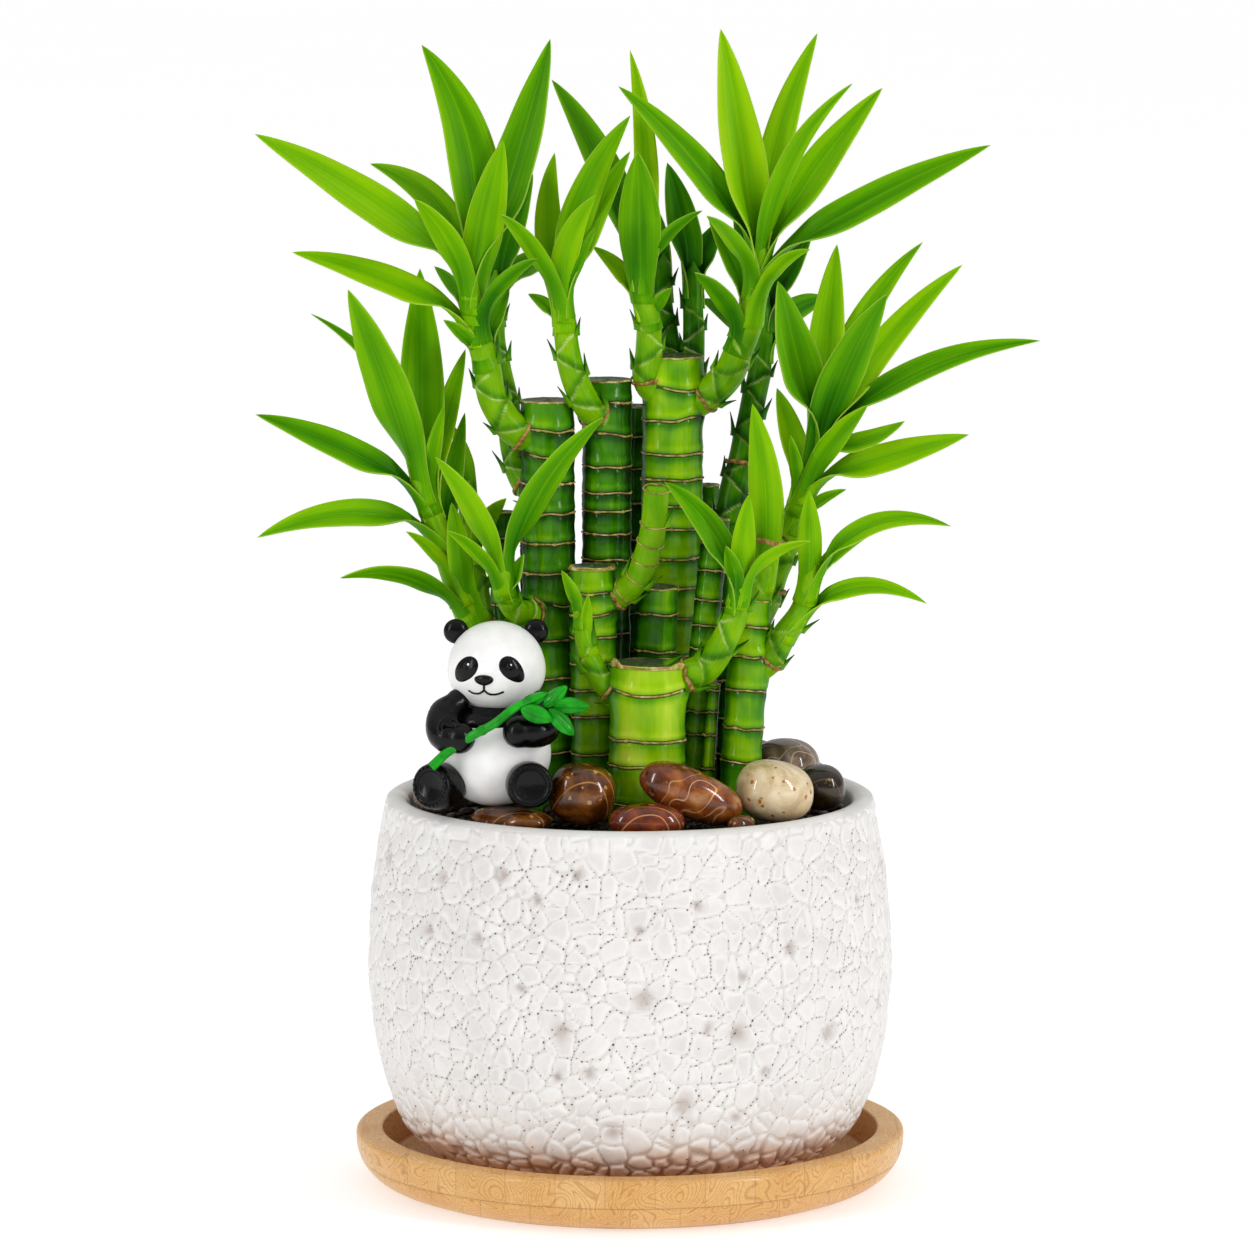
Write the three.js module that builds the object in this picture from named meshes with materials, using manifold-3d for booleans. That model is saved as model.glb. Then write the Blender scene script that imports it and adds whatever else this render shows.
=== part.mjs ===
// A lucky bamboo of fifteen cut canes with their leafy shoots, in a crackled white pot
// on a bamboo saucer, with polished pebbles and a seated panda figurine on the soil.
// Millimetres, +Z up. The origin is the centre of the saucer's underside, the front is -Y.

import * as THREE from 'three';
import { mergeVertices } from 'three/addons/utils/BufferGeometryUtils.js';
import Module from 'manifold-3d';

const wasm = await Module();
wasm.setup();

// ---- Driving dimensions ----

const GAP = 0.3;                // clearance between pieces that touch

const SAUCER_HEIGHT = 15;
const SAUCER_RADIUS = 73.5;     // at the top edge
const SAUCER_FOOT_RADIUS = 62;
const SAUCER_RECESS_RADIUS = 66.3;
const SAUCER_FLOOR = 6;         // height of the recess floor

const POT_HEIGHT = 105;         // height of the lip above the table
const POT_RADIUS = 70.2;        // at the belly
const POT_MOUTH_RADIUS = 59;
const POT_FOOT_RADIUS = 50;
const POT_WALL = 6;
const POT_FLOOR = 8;
const LIP_ROUNDING = 3;

const SOIL_EDGE = 99.5;         // height of the soil at the pot's wall
const SOIL_CROWN = 101.5;       // height of the soil among the canes
const SOIL_CROWN_RADIUS = 40;

const CANE_FOOT = 55;           // how deep the canes stand
const RING_SPACING = 10;        // between node rings below those that are listed
const RING_PROUD = 0.6;         // how far a node ring stands out of its cane
const RING_RISE = 1.1;

const BLADE = 0.7;              // leaf thickness
const BLADE_STEPS = 4;
const SMALL_BLADE_STEPS = 3;
const SMALL_BLADE_WIDTH = 5;
const LEAF_TURN = 0.7;          // how far a leaf's face turns towards the front, from 0 to 1
const LEAF_BREADTH = 1.12;      // a blade's flat width for its width as it hangs
const ROOT_OFFSET = 0.4;        // share of the stem's radius from its axis to a leaf's root
const SPIKE_LENGTH = 4.5;       // old leaf sheaths on the bare part of a shoot
const SPIKE_RADIUS = 0.9;

const ROUND_SIDES = 32;
const THICK_CANE_SIDES = 8;
const THIN_CANE_SIDES = 6;
const THICK_CANE = 5.8;
const STEM_SIDES = 6;

// ---- Finishes ----

function finish(color, roughness, metalness = 0) {
  return new THREE.MeshStandardMaterial({ color, roughness, metalness });
}

const FINISHES = {
  ceramic: finish(0xf1eeea, 0.55),
  bamboo: finish(0xd9a862, 0.5),
  soil: finish(0x4a3420, 0.9),
  plant: finish(0x5fa41c, 0.4),
  brownStone: finish(0x6b3413, 0.15),
  darkStone: finish(0x3b2416, 0.15),
  creamStone: finish(0xdccbb0, 0.2),
  greyStone: finish(0x6d5645, 0.2),
  white: finish(0xf7f5f2, 0.25),
  black: finish(0x141416, 0.25),
  sprig: finish(0x2aa822, 0.3),
};

// ---- Solids ----

const object = new THREE.Group();

function toSolid(geometry) {
  geometry.deleteAttribute('normal');
  geometry.deleteAttribute('uv');
  const merged = mergeVertices(geometry, 1e-4);
  return new wasm.Manifold(new wasm.Mesh({
    numProp: 3,
    vertProperties: new Float32Array(merged.attributes.position.array),
    triVerts: new Uint32Array(merged.index.array),
  }));
}

function toGeometry(solid) {
  const { vertProperties, triVerts } = solid.getMesh();
  const geometry = new THREE.BufferGeometry();
  geometry.setAttribute('position', new THREE.BufferAttribute(vertProperties, 3));
  geometry.setIndex(new THREE.BufferAttribute(triVerts, 1));
  geometry.computeVertexNormals();
  return geometry;
}

// Joins solids into one body, without the specks and sealed hollows that crossing leaves make.
function join(solids) {
  const bodies = solids.reduce((whole, solid) => whole.add(solid)).decompose();
  return bodies.reduce((largest, body) => (body.volume() > largest.volume() ? body : largest));
}

function addNode(name, solid, material) {
  const mesh = new THREE.Mesh(toGeometry(solid), material);
  mesh.name = name;
  object.add(mesh);
}

function vector([x, y, z]) {
  return new THREE.Vector3(x, y, z);
}

// Turns an outline of [radius, height] points about the Z axis.
function turned(outline, sides) {
  const geometry = new THREE.LatheGeometry(outline.map(([r, z]) => new THREE.Vector2(r, z)), sides);
  return geometry.rotateX(Math.PI / 2);
}

// An ellipsoid tilted about the Y axis, with its poles on its own Z axis.
function ellipsoid([x, y, z], [rx, ry, rz], tilt = 0, grow = 0, sides = 10) {
  const geometry = new THREE.SphereGeometry(1, sides, Math.round(sides * 0.6));
  geometry.rotateX(Math.PI / 2);
  geometry.scale(rx + grow, ry + grow, rz + grow);
  geometry.rotateY(THREE.MathUtils.degToRad(tilt));
  return toSolid(geometry.translate(x, y, z));
}

// ---- Saucer and pot ----

function makeSaucer() {
  const side = SAUCER_RADIUS - SAUCER_FOOT_RADIUS;
  const bowl = [0, 25, 55].map((angle) => {
    const a = THREE.MathUtils.degToRad(angle);
    return [SAUCER_FOOT_RADIUS + side * Math.sin(a), (SAUCER_HEIGHT - 2) * (1 - Math.cos(a))];
  });
  const outline = [
    [0, 0],
    ...bowl,
    [SAUCER_RADIUS, SAUCER_HEIGHT - 1.5],
    [SAUCER_RADIUS - 1.5, SAUCER_HEIGHT],
    [SAUCER_RECESS_RADIUS, SAUCER_HEIGHT],
    [SAUCER_RECESS_RADIUS - 3, SAUCER_FLOOR],
    [0, SAUCER_FLOOR],
  ];
  return toSolid(turned(outline, ROUND_SIDES));
}

// Radius of the pot's outside at a height: a full belly above a foot that curves in.
const POT_BASE = SAUCER_FLOOR + GAP;
const POT_SIDE = [
  [POT_FOOT_RADIUS, POT_BASE], [56.3, 12.2], [60, 16], [63.6, 22], [66.8, 32],
  [69.2, 45], [POT_RADIUS, 62], [69.4, 77], [67.9, 89], [65.9, 100],
];
const POT_SHOULDER = 65.4;

function makePot() {
  const lip = [45, 0].map((angle) => {
    const a = THREE.MathUtils.degToRad(angle);
    return [
      POT_SHOULDER - LIP_ROUNDING * (1 - Math.cos(Math.PI / 2 - a)),
      POT_HEIGHT - LIP_ROUNDING * (1 - Math.cos(a)),
    ];
  });
  const inside = [85, 62, 36].map((z) => [potInsideRadius(z), z]);
  const outline = [
    [0, POT_BASE],
    ...POT_SIDE,
    ...lip,
    [POT_MOUTH_RADIUS, POT_HEIGHT],
    ...inside,
    [POT_FOOT_RADIUS - 1, POT_BASE + POT_FLOOR],
    [0, POT_BASE + POT_FLOOR],
  ];
  return toSolid(turned(outline, ROUND_SIDES));
}

function potInsideRadius(height) {
  const index = POT_SIDE.findIndex(([, z]) => z > height);
  const [[r0, z0], [r1, z1]] = [POT_SIDE[index - 1], POT_SIDE[index]];
  return r0 + ((r1 - r0) * (height - z0)) / (z1 - z0) - POT_WALL;
}

// ---- Canes ----
// foot is [x, y] at CANE_FOOT, top is [x, y, z] of the cut end, rings are node heights.
// A leaf is [at, tip, width, bow, sweep]: where it leaves its stem from 0 to 1, the place of
// its tip, its width, and how far it arches, up and then sideways, as shares of its length.

const CANES = {
  cane_front: {
    foot: [3, -22], top: [5, -20, 143], radius: 9.9, rings: [135, 123, 116],
    shoots: [
      {
        radius: [4.6, 2.8],
        route: [[10, -20, 138], [16, -21, 140], [20, -22, 142], [24, -24, 148], [28, -25, 157], [29, -26, 165]],
        leaves: [
          [0.94, [9, -20, 191], 7.2, 0.1], [0.97, [31, -31, 189], 5.9, 0.03],
          [0.97, [47, -34, 177], 3.4, 0.12], [0.95, [25, -36, 176], 4, 0.03],
        ],
      },
      {
        radius: [3.8, 2],
        route: [[-1, -20, 134], [-7, -21, 138], [-10, -22, 143], [-12, -22, 149], [-13, -22, 157]],
        leaves: [
          [0.96, [-18, -24, 168], 3.4, 0.05], [0.7, [-11, -27, 162], 3, 0.03],
          [0.9, [-15, -16, 164], 3, 0.03],
        ],
      },
    ],
  },
  cane_front_left: {
    foot: [-9, -7], top: [-10, -6, 167], radius: 5.9, rings: [160, 154, 148, 141, 134, 127],
    shoots: [
      {
        radius: [3.6, 3.4],
        route: [[-8, -6, 157], [-3, -7, 159], [2, -9, 164], [4, -10, 169], [6, -11, 177], [7, -11, 188]],
        leaves: [[0.6, [2, -16, 176], 2.6, 0.05], [0.85, [12, -15, 187], 2.6, 0.05]],
      },
    ],
  },
  cane_tall_left: {
    foot: [-21, 4], top: [-22, 5, 210], radius: 7, rings: [202, 195, 188, 180, 172, 164, 155, 146],
    shoots: [
      {
        radius: [4.6, 2.6],
        route: [
          [-22, 4, 199], [-30, 2, 202], [-36, 0, 210], [-38, -2, 220],
          [-41, -4, 231], [-42, -5, 239], [-42, -6, 248],
        ],
        leaves: [
          [0.93, [-98, -16, 282], 10.1, 0.03], [0.97, [-69, 14, 272], 7.5, 0.13, 0.04],
          [0.93, [-55, 6, 304], 12.8, 0.1, 0.06], [0.86, [-56, -30, 266], 6.7, 0.06, -0.01],
          [0.89, [-21, -2, 306], 11.4, -0.01, 0.01], [0.81, [-33, -26, 281], 9.6, 0.05, -0.01],
          [0.71, [-89, -4, 250], 7.5, 0.05], [0.72, [-24, -24, 250], 4, 0.1, -0.03],
          [0.59, [-32, 8, 239], 4.3, 0.05], [0.56, [-49, -14, 233], 3.7, 0.05],
          [0.77, [-52, 10, 245], 3.7, 0.05],
        ],
      },
      {
        radius: [3.8, 2.4],
        route: [
          [-23, 6, 183], [-28, 10, 187], [-31, 13, 195], [-32, 15, 202],
          [-33, 17, 209], [-36, 20, 224], [-36, 22, 240],
        ],
        leaves: [
          [0.97, [-26, 30, 268], 6.9, 0.04], [0.89, [-35, 36, 252], 5.3, 0.04],
          [0.89, [-50, 44, 256], 6.4, 0.06], [0.96, [-19, 46, 245], 6.4, 0.08],
        ],
      },
      {
        radius: [4, 2.6],
        route: [[-22, 3, 155], [-27, -3, 154], [-30, -8, 155], [-33, -12, 160], [-34, -14, 167]],
        leaves: [
          [0.97, [-51, -24, 198], 6.4, 0.06], [0.93, [-7, -20, 208], 7.5, 0.08],
          [0.87, [-48, -28, 179], 3.7, 0.06], [0.74, [-28, -13, 171], 3.7, 0.03],
        ],
      },
    ],
  },
  cane_tall_middle: {
    foot: [-7, 10], top: [-6, 10, 215], radius: 6.4, rings: [209, 200, 192, 185, 180, 174, 167],
    shoots: [
      {
        radius: [4.3, 2.6],
        route: [[-7, 9, 204], [-11, 2, 208.5], [-15, 0, 217], [-17, 0, 227], [-18, 0, 239]],
        leaves: [
          [0.97, [0, -4, 286], 8.8, 0.08, 0.01], [0.93, [-20, 14, 275], 7, 0.02, -0.07],
          [0.89, [-9, -16, 266], 6.7, 0.09, 0.06], [0.95, [-34, -28, 262], 4.8, 0.08, 0.02],
          [0.98, [0, 5, 276], 6.9, 0.04], [0.96, [-9, -8, 257], 3.7, 0.05],
          [0.81, [-27, 6, 238], 3.7, 0.08],
        ],
      },
    ],
  },
  cane_tall_right: {
    foot: [10.5, 14], top: [11.5, 14, 221], radius: 8, rings: [212, 204, 195, 188, 181, 175, 167, 159, 151],
    shoots: [
      {
        radius: [4.3, 2.6],
        route: [[11, 13, 209], [5, 10, 214], [5, 8, 223], [5, 7, 231], [3, 6, 238], [3, 6, 246]],
        leaves: [
          [0.97, [-21, 36, 293], 8.5, 0.06, 0.01], [0.93, [0, 18, 302], 6.1, 0.04, 0.04],
          [0.89, [2, -12, 277], 10.4, 0.04], [0.94, [19, -4, 261], 3.5, 0.1],
          [0.76, [-10, 14, 250], 4.5, 0.08], [0.64, [11, 2, 240], 3.5, 0.08],
        ],
      },
      {
        radius: [4.8, 2.7],
        route: [
          [16, 13, 208], [21, 12, 211], [26, 10, 216], [29, 8, 223],
          [32, 7, 231], [33, 6, 238], [35, 6, 250],
        ],
        leaves: [
          [0.97, [-3, 7, 293], 8.3, 0.05], [0.93, [24, 10, 308], 11.4, 0.01],
          [0.89, [50, 26, 306], 8.3, 0.06, -0.02], [0.84, [58, -14, 295], 5.5, 0.12],
          [0.95, [67, 16, 292], 9.4, 0.04], [0.9, [95, 0, 278], 8.5, 0.03],
          [0.7, [47, -20, 252], 3.7, 0.1], [0.84, [20, -22, 261], 4.5, 0.06],
          [0.7, [21, 18, 257], 5.3, 0.05], [0.52, [17, -8, 245], 5.3, 0.08],
        ],
      },
      {
        radius: [3.4, 2.4],
        route: [[16, 18, 210], [17, 23, 221], [17, 25, 231], [17, 26, 242]],
        leaves: [
          [0.97, [10, 32, 271], 8.3, 0.03], [0.93, [24, 34, 255], 5.9, 0.05],
          [0.89, [16, 50, 256], 6.4, 0.08],
        ],
      },
      {
        radius: [3.2, 2.2],
        route: [[12, 18, 212], [11, 25, 221], [9, 28, 233], [9, 30, 244]],
        leaves: [[0.97, [3, 44, 263], 5.9, 0.05], [0.87, [6, 52, 255], 5.9, 0.06]],
      },
    ],
  },
  cane_back: {
    foot: [1, 28], top: [1, 28, 206], radius: 4.8, rings: [198, 189, 180], shoots: [],
  },
  cane_middle: {
    foot: [3, 0.2], top: [7.4, -2.4, 161], radius: 5.4, rings: [154, 144, 135], shoots: [],
  },
  cane_slim: {
    foot: [10.5, -8], top: [23, 0, 179], radius: 3.5, rings: [173, 166, 158, 151, 145, 136, 128, 122],
    shoots: [],
  },
  cane_thin: {
    foot: [16.5, -14], top: [22.2, -9.7, 136], radius: 1.7, rings: [134.5, 128.5, 122.5, 113.5],
    shoots: [],
  },
  cane_back_right: {
    foot: [21, 30], top: [21.3, 30, 184.5], radius: 2.8, rings: [178, 170], shoots: [],
  },
  cane_right: {
    foot: [27, 18], top: [27, 17, 177.5], radius: 3.7, rings: [171, 163],
    shoots: [
      {
        radius: [4.2, 2.6],
        route: [[27, 17, 175], [27.5, 18, 182], [30, 20, 192], [33, 23, 207], [35, 25, 217], [36, 28, 233]],
        leaves: [
          [0.97, [49, 34, 252], 6.4, 0.03], [0.93, [28, 44, 260], 6.4, 0.04],
          [0.84, [54, 48, 233], 6.4, 0.1], [0.8, [19, 46, 233], 5.3, 0.08],
        ],
      },
    ],
  },
  cane_far_right: {
    foot: [25.5, -13], top: [32.3, -12, 159], radius: 5.2, rings: [152, 144, 135, 125, 116],
    shoots: [
      {
        radius: [4.4, 3],
        route: [[33, -12, 152], [34, -12, 159], [35, -13, 163], [36, -14, 168]],
        leaves: [[0.97, [32, -24, 212], 8.5, 0.03, -0.03]],
      },
      {
        radius: [4.3, 2.6],
        route: [
          [33, -12, 153], [36, -9, 159], [38, -8, 165], [41, -7, 172],
          [44, -6, 180], [46, -6, 187], [48, -6, 194], [51, -6, 203],
        ],
        leaves: [
          [0.97, [39, -6, 242.5], 11.4, 0, -0.01], [0.97, [55, 10, 251], 9.1, 0.02, -0.01],
          [0.93, [78, 16, 251], 6.9, 0.08, -0.03], [0.89, [88, 4, 246], 7.8, 0.06],
          [0.87, [67, -26, 241], 10.6, 0.05], [0.95, [108, -8, 227], 6.5, 0.1],
          [0.91, [72, -20, 207], 4.8, -0.06], [0.73, [89, -16, 203], 7.7, 0.01],
          [0.69, [62, -28, 212], 6.1, 0.06], [0.72, [39, 6, 213], 6.4, 0.04],
          [0.65, [42, -16, 203], 3.5, 0.04], [0.54, [57, -12, 188], 3.2, 0.08],
        ],
      },
      {
        radius: [4, 2.6],
        route: [[32, -12, 139], [37, -13, 143], [41, -15, 150], [45, -16, 156], [48, -18, 166]],
        leaves: [
          [0.97, [84, -26, 180], 5.3, 0.2], [0.59, [78, -22, 159], 4.8, 0.2],
          [0.93, [47, -22, 189], 6.1, 0.03], [0.97, [63, -8, 175], 3.7, 0.1],
        ],
      },
    ],
  },
  cane_back_left: {
    foot: [-34, 20], top: [-34.3, 21, 178.2], radius: 3.2, rings: [171, 163], shoots: [],
  },
  cane_left: {
    foot: [-25, 17], top: [-25, 17, 176], radius: 4.3, rings: [169, 161], shoots: [],
  },
  cane_far_left: {
    foot: [-36, 4], top: [-35, 4, 146], radius: 5.4, rings: [139, 131],
    shoots: [
      {
        radius: [5, 2.6],
        route: [
          [-36, 4, 141], [-40, 3, 148], [-43, 2, 154], [-46, 1, 162],
          [-50, 0, 173], [-53, -1, 181], [-56, -2, 190],
        ],
        leaves: [
          [0.97, [-74, -14, 241], 11.4, 0.02, 0.01], [0.93, [-56, 16, 244], 11.2, 0.03],
          [0.92, [-99, -4, 207], 7.5, 0.04], [0.72, [-98, -18, 176], 7.2, 0.11, -0.01],
          [0.23, [-76, -24, 166], 5.3, 0.13], [0.89, [-85, 14, 232], 4, 0.14, 0.04],
          [0.88, [-44, 20, 222], 6.1, 0.04], [0.91, [-49, -10, 210], 3.7, 0.04],
          [0.64, [-44, 10, 206], 5.3, 0.03], [0.31, [-47, -16, 185], 6.1, 0.03],
          [0.42, [-59, -14, 177], 3.7, 0.08],
        ],
      },
      {
        radius: [3.2, 2.2],
        route: [[-36, 6, 142], [-39, 9, 150], [-41, 12, 161], [-43, 15, 174], [-43, 17, 184]],
        leaves: [
          [0.97, [-47, 28, 200], 5.3, 0.04], [0.9, [-57, 24, 191], 5.3, 0.1],
          [0.64, [-33, 10, 183], 5.3, 0.08],
        ],
      },
    ],
  },
};

function ringHeights(cane) {
  const heights = [...cane.rings];
  while (heights.at(-1) - RING_SPACING > SOIL_CROWN + 1) {
    heights.push(heights.at(-1) - RING_SPACING);
  }
  return heights.reverse();
}

// Leans an upright turned solid so that its axis runs from the cane's foot to its top.
function leanCane(geometry, cane) {
  const foot = vector([...cane.foot, CANE_FOOT]);
  const axis = vector(cane.top).sub(foot).normalize();
  const lean = new THREE.Quaternion().setFromUnitVectors(new THREE.Vector3(0, 0, 1), axis);
  return geometry.applyQuaternion(lean).translate(foot.x, foot.y, foot.z);
}

function caneSides(cane) {
  return cane.radius > THICK_CANE ? THICK_CANE_SIDES : THIN_CANE_SIDES;
}

function makeCulm(cane) {
  const length = vector(cane.top).distanceTo(vector([...cane.foot, CANE_FOOT]));
  const rings = ringHeights(cane).flatMap((height) => [
    [cane.radius, height - CANE_FOOT - RING_RISE],
    [cane.radius + RING_PROUD, height - CANE_FOOT],
  ]);
  const outline = [
    [0, 0], [cane.radius, 0], ...rings,
    [cane.radius + RING_PROUD / 2, length - 0.5], [cane.radius - 0.3, length],
    [cane.radius - 1.3, length], [cane.radius - 1.6, length - 0.8], [0, length - 0.8],
  ];
  return toSolid(leanCane(turned(outline, caneSides(cane)), cane));
}

// ---- Shoots and leaves ----

function makeStem(curve, [thick, thin]) {
  const steps = Math.max(3, Math.round(curve.getLength() / 9));
  const { normals, binormals } = curve.computeFrenetFrames(steps);
  const geometry = new THREE.CylinderGeometry(1, 1, 1, STEM_SIDES, steps);
  const position = geometry.attributes.position;
  for (let i = 0; i < position.count; i += 1) {
    const along = position.getY(i) + 0.5;
    const step = Math.round(along * steps);
    const radius = THREE.MathUtils.lerp(thick, thin, along);
    const point = curve.getPointAt(along)
      .addScaledVector(normals[step], position.getX(i) * radius)
      .addScaledVector(binormals[step], -position.getZ(i) * radius);
    position.setXYZ(i, point.x, point.y, point.z);
  }
  return toSolid(geometry);
}

// Splits the lower face's quads along the same diagonals as the upper face's.
function matchDiagonals(box) {
  const lower = box.groups[3];
  for (let i = lower.start; i < lower.start + lower.count; i += 6) {
    const [a, b, d, , c] = [0, 1, 2, 3, 4].map((k) => box.index.getX(i + k));
    [a, b, c, a, c, d].forEach((corner, k) => box.index.setX(i + k, corner));
  }
}

// Share of a leaf's full width from its clasping base, 0, to its drawn-out tip, 1.
function leafWidth(along) {
  return 2.4 * (along + 0.01) ** 0.5 * (1 - along) ** 0.85;
}

// The way a blade faces: square to its arc's plane, or turned about its spine to the front.
function leafFace(sideways, tangent, turn) {
  const grown = sideways.clone().cross(tangent);
  const front = new THREE.Vector3(0, -1, 0).addScaledVector(tangent, tangent.y).normalize();
  const hand = grown.dot(front) < -0.2 ? -1 : 1;
  return grown.multiplyScalar(1 - turn).addScaledVector(front, turn * hand).normalize();
}

// A lance-shaped blade. Its spine is a quadratic arc from the stem to its tip.
function makeLeaf(curve, [thick, thin], [at, tip, width, bow, sweep = 0]) {
  const start = curve.getPointAt(at);
  const end = vector(tip);
  const outward = end.clone().sub(start).setZ(0).normalize();
  start.addScaledVector(outward, THREE.MathUtils.lerp(thick, thin, at) * ROOT_OFFSET);
  const chord = end.clone().sub(start);
  const sideways = outward.clone().cross(new THREE.Vector3(0, 0, 1));
  const crown = sideways.clone().cross(chord);
  const middle = start.clone().add(end).multiplyScalar(0.5)
    .addScaledVector(crown, 2 * bow)
    .addScaledVector(sideways, 2 * sweep * chord.length());
  const spine = new THREE.QuadraticBezierCurve3(start, middle, end);
  const steps = width > SMALL_BLADE_WIDTH ? BLADE_STEPS : SMALL_BLADE_STEPS;
  const geometry = new THREE.BoxGeometry(1, 1, 1, 1, 1, steps);
  matchDiagonals(geometry);
  const position = geometry.attributes.position;
  for (let i = 0; i < position.count; i += 1) {
    const along = position.getZ(i) + 0.5;
    const across = 2 * position.getX(i);
    const tangent = spine.getTangent(along);
    const face = leafFace(sideways, tangent, LEAF_TURN * THREE.MathUtils.smoothstep(along, 0, 0.4));
    const side = face.clone().cross(tangent);
    const half = Math.max(0.3, (width / 2) * LEAF_BREADTH * leafWidth(along)) * across;
    const point = spine.getPoint(along)
      .addScaledVector(side, half)
      .addScaledVector(face, position.getY(i) * BLADE);
    position.setXYZ(i, point.x, point.y, point.z);
  }
  return toSolid(geometry);
}

// The dried points of old sheaths, left and right by turns up the bare part of a shoot.
function makeSpikes(curve, [thick, thin], leaves) {
  const bare = Math.min(0.9, ...leaves.map(([at]) => at));
  const spikes = [];
  for (let at = 0.3; at < bare; at += 0.2) {
    const tangent = curve.getTangentAt(at);
    const side = tangent.clone().cross(new THREE.Vector3(0, 1, 0)).normalize();
    const hand = spikes.length % 2 ? 1 : -1;
    const radius = THREE.MathUtils.lerp(thick, thin, at);
    const direction = tangent.multiplyScalar(0.85).addScaledVector(side, 0.5 * hand).normalize();
    const root = curve.getPointAt(at).addScaledVector(side, hand * (radius - SPIKE_RADIUS));
    const geometry = new THREE.ConeGeometry(SPIKE_RADIUS, SPIKE_LENGTH, 3);
    geometry.translate(0, SPIKE_LENGTH / 2 - 0.5, 0);
    geometry.applyQuaternion(new THREE.Quaternion().setFromUnitVectors(new THREE.Vector3(0, 1, 0), direction));
    spikes.push(toSolid(geometry.translate(root.x, root.y, root.z)));
  }
  return spikes;
}

function makeShoot({ radius, route, leaves }) {
  const curve = new THREE.CatmullRomCurve3(route.map(vector), false, 'centripetal');
  return [
    makeStem(curve, radius),
    ...leaves.map((leaf) => makeLeaf(curve, radius, leaf)),
    ...makeSpikes(curve, radius, leaves),
  ];
}

function makeCane(cane) {
  return join([makeCulm(cane), ...cane.shoots.flatMap(makeShoot)]);
}

// ---- Soil ----

function makeCaneHole(cane) {
  const reach = SOIL_CROWN + 10 - CANE_FOOT;
  const radius = cane.radius + RING_PROUD + GAP;
  return toSolid(leanCane(turned([[0, -GAP], [radius, -GAP], [radius, reach], [0, reach]], caneSides(cane)), cane));
}

function makeSoil() {
  const bottom = POT_BASE + POT_FLOOR + GAP;
  const outline = [
    [0, bottom], [POT_FOOT_RADIUS - 2, bottom],
    ...[36, 62, 85].map((z) => [potInsideRadius(z) - 2 * GAP, z]),
    [POT_MOUTH_RADIUS - 2 * GAP, SOIL_EDGE],
    [SOIL_CROWN_RADIUS, SOIL_CROWN], [0, SOIL_CROWN],
  ];
  const body = toSolid(turned(outline, ROUND_SIDES));
  return Object.values(CANES).reduce((soil, cane) => soil.subtract(makeCaneHole(cane)), body);
}

// ---- Pebbles ----
// [finish, centre, radii, tilt about Y, turn about Z]

const PEBBLES = {
  pebble_front_round: ['brownStone', [-12.5, -38, 110.8], [8.9, 8, 8.3], 10, 0],
  pebble_front_flat: ['brownStone', [-32, -39, 104.4], [11.5, 7, 2.8], 0, -38],
  pebble_front_dark: ['brownStone', [4, -50, 105.8], [9.6, 5.8, 4.5], 0, 4],
  pebble_front_long: ['brownStone', [17, -41, 111], [13, 7, 6.6], 22, 10],
  pebble_front_cream: ['creamStone', [38, -32, 110.5], [10.1, 8, 8], 8, 40],
  pebble_right_dark: ['darkStone', [50.5, -15, 108.5], [6.2, 6, 6.2], 0, 0],
  pebble_right_striped: ['greyStone', [42, -1, 111.5], [9, 8, 8.4], 15, 70],
  pebble_front_chip: ['brownStone', [29, -47, 104.3], [3.8, 2.8, 2.4], 0, 30],
  pebble_left_grey: ['greyStone', [-50, -13, 106.5], [7, 7.5, 5], 0, 60],
  pebble_left_brown: ['brownStone', [-51, 7, 107], [6, 8, 5.2], 0, 0],
  pebble_back_left_cream: ['creamStone', [-43, 29, 107], [7, 6, 5.2], 0, 40],
  pebble_back_left_brown: ['brownStone', [-27, 41, 108], [10, 7, 6], 0, 30],
  pebble_back_grey: ['greyStone', [-5, 47, 107.5], [9, 6.5, 5.5], 0, 5],
  pebble_back_cream: ['creamStone', [14, 46, 107], [7.5, 6, 5.2], 0, -10],
  pebble_back_brown: ['brownStone', [33, 37, 108], [8.5, 6.5, 6], 0, -40],
  pebble_right_brown: ['darkStone', [47, 20, 107.5], [6.5, 9, 5.6], 0, -20],
};

function makePebble([, centre, radii, tilt, turn]) {
  const geometry = new THREE.IcosahedronGeometry(1, 1).scale(...radii);
  geometry.rotateY(THREE.MathUtils.degToRad(tilt));
  geometry.rotateZ(THREE.MathUtils.degToRad(turn));
  return toSolid(geometry.translate(...centre));
}

// ---- Panda figurine ----

const HEAD = [[-35, -32, 144], [12.9, 11.5, 12]];
const TORSO = [[-35.5, -33, 121], [15, 11.5, 14]];
const EARS = { left: [-46, -29, 153], right: [-24.5, -29, 153] };
const EYES = { left: [-42.6, -41.5, 145], right: [-30.8, -42, 145] };
const EYE_TILT = { left: 30, right: -30 };
const FEET = {
  left: [[-48.5, -38, 113], [7.8, 7, 6.3]],
  right: [[-27, -45, 115], [6.3, 6, 6.4]],
};
const SPRIG_RADIUS = 1.5;
const SPRIG_ROUTE = [[-52, -46, 119.5], [-46, -48, 124], [-40.7, -49, 128.4], [-35, -48, 132], [-25, -47.5, 136]];
const SPRIG_LEAVES = [
  [[-27.5, -47.5, 137.5], [5, 1.4, 2.4], -20], [[-23, -48, 139], [3, 1.4, 4.6], 30],
  [[-17.5, -48, 136.5], [5.4, 1.4, 2.6], 5], [[-25.5, -49, 133.8], [4.8, 1.6, 2.5], 18],
  [[-20, -48.5, 132], [2.6, 1.4, 4.8], -28],
];

function makePandaBody(grow = 0) {
  return join([ellipsoid(...HEAD, 0, grow, 12), ellipsoid(...TORSO, 0, grow, 12)]);
}

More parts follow.
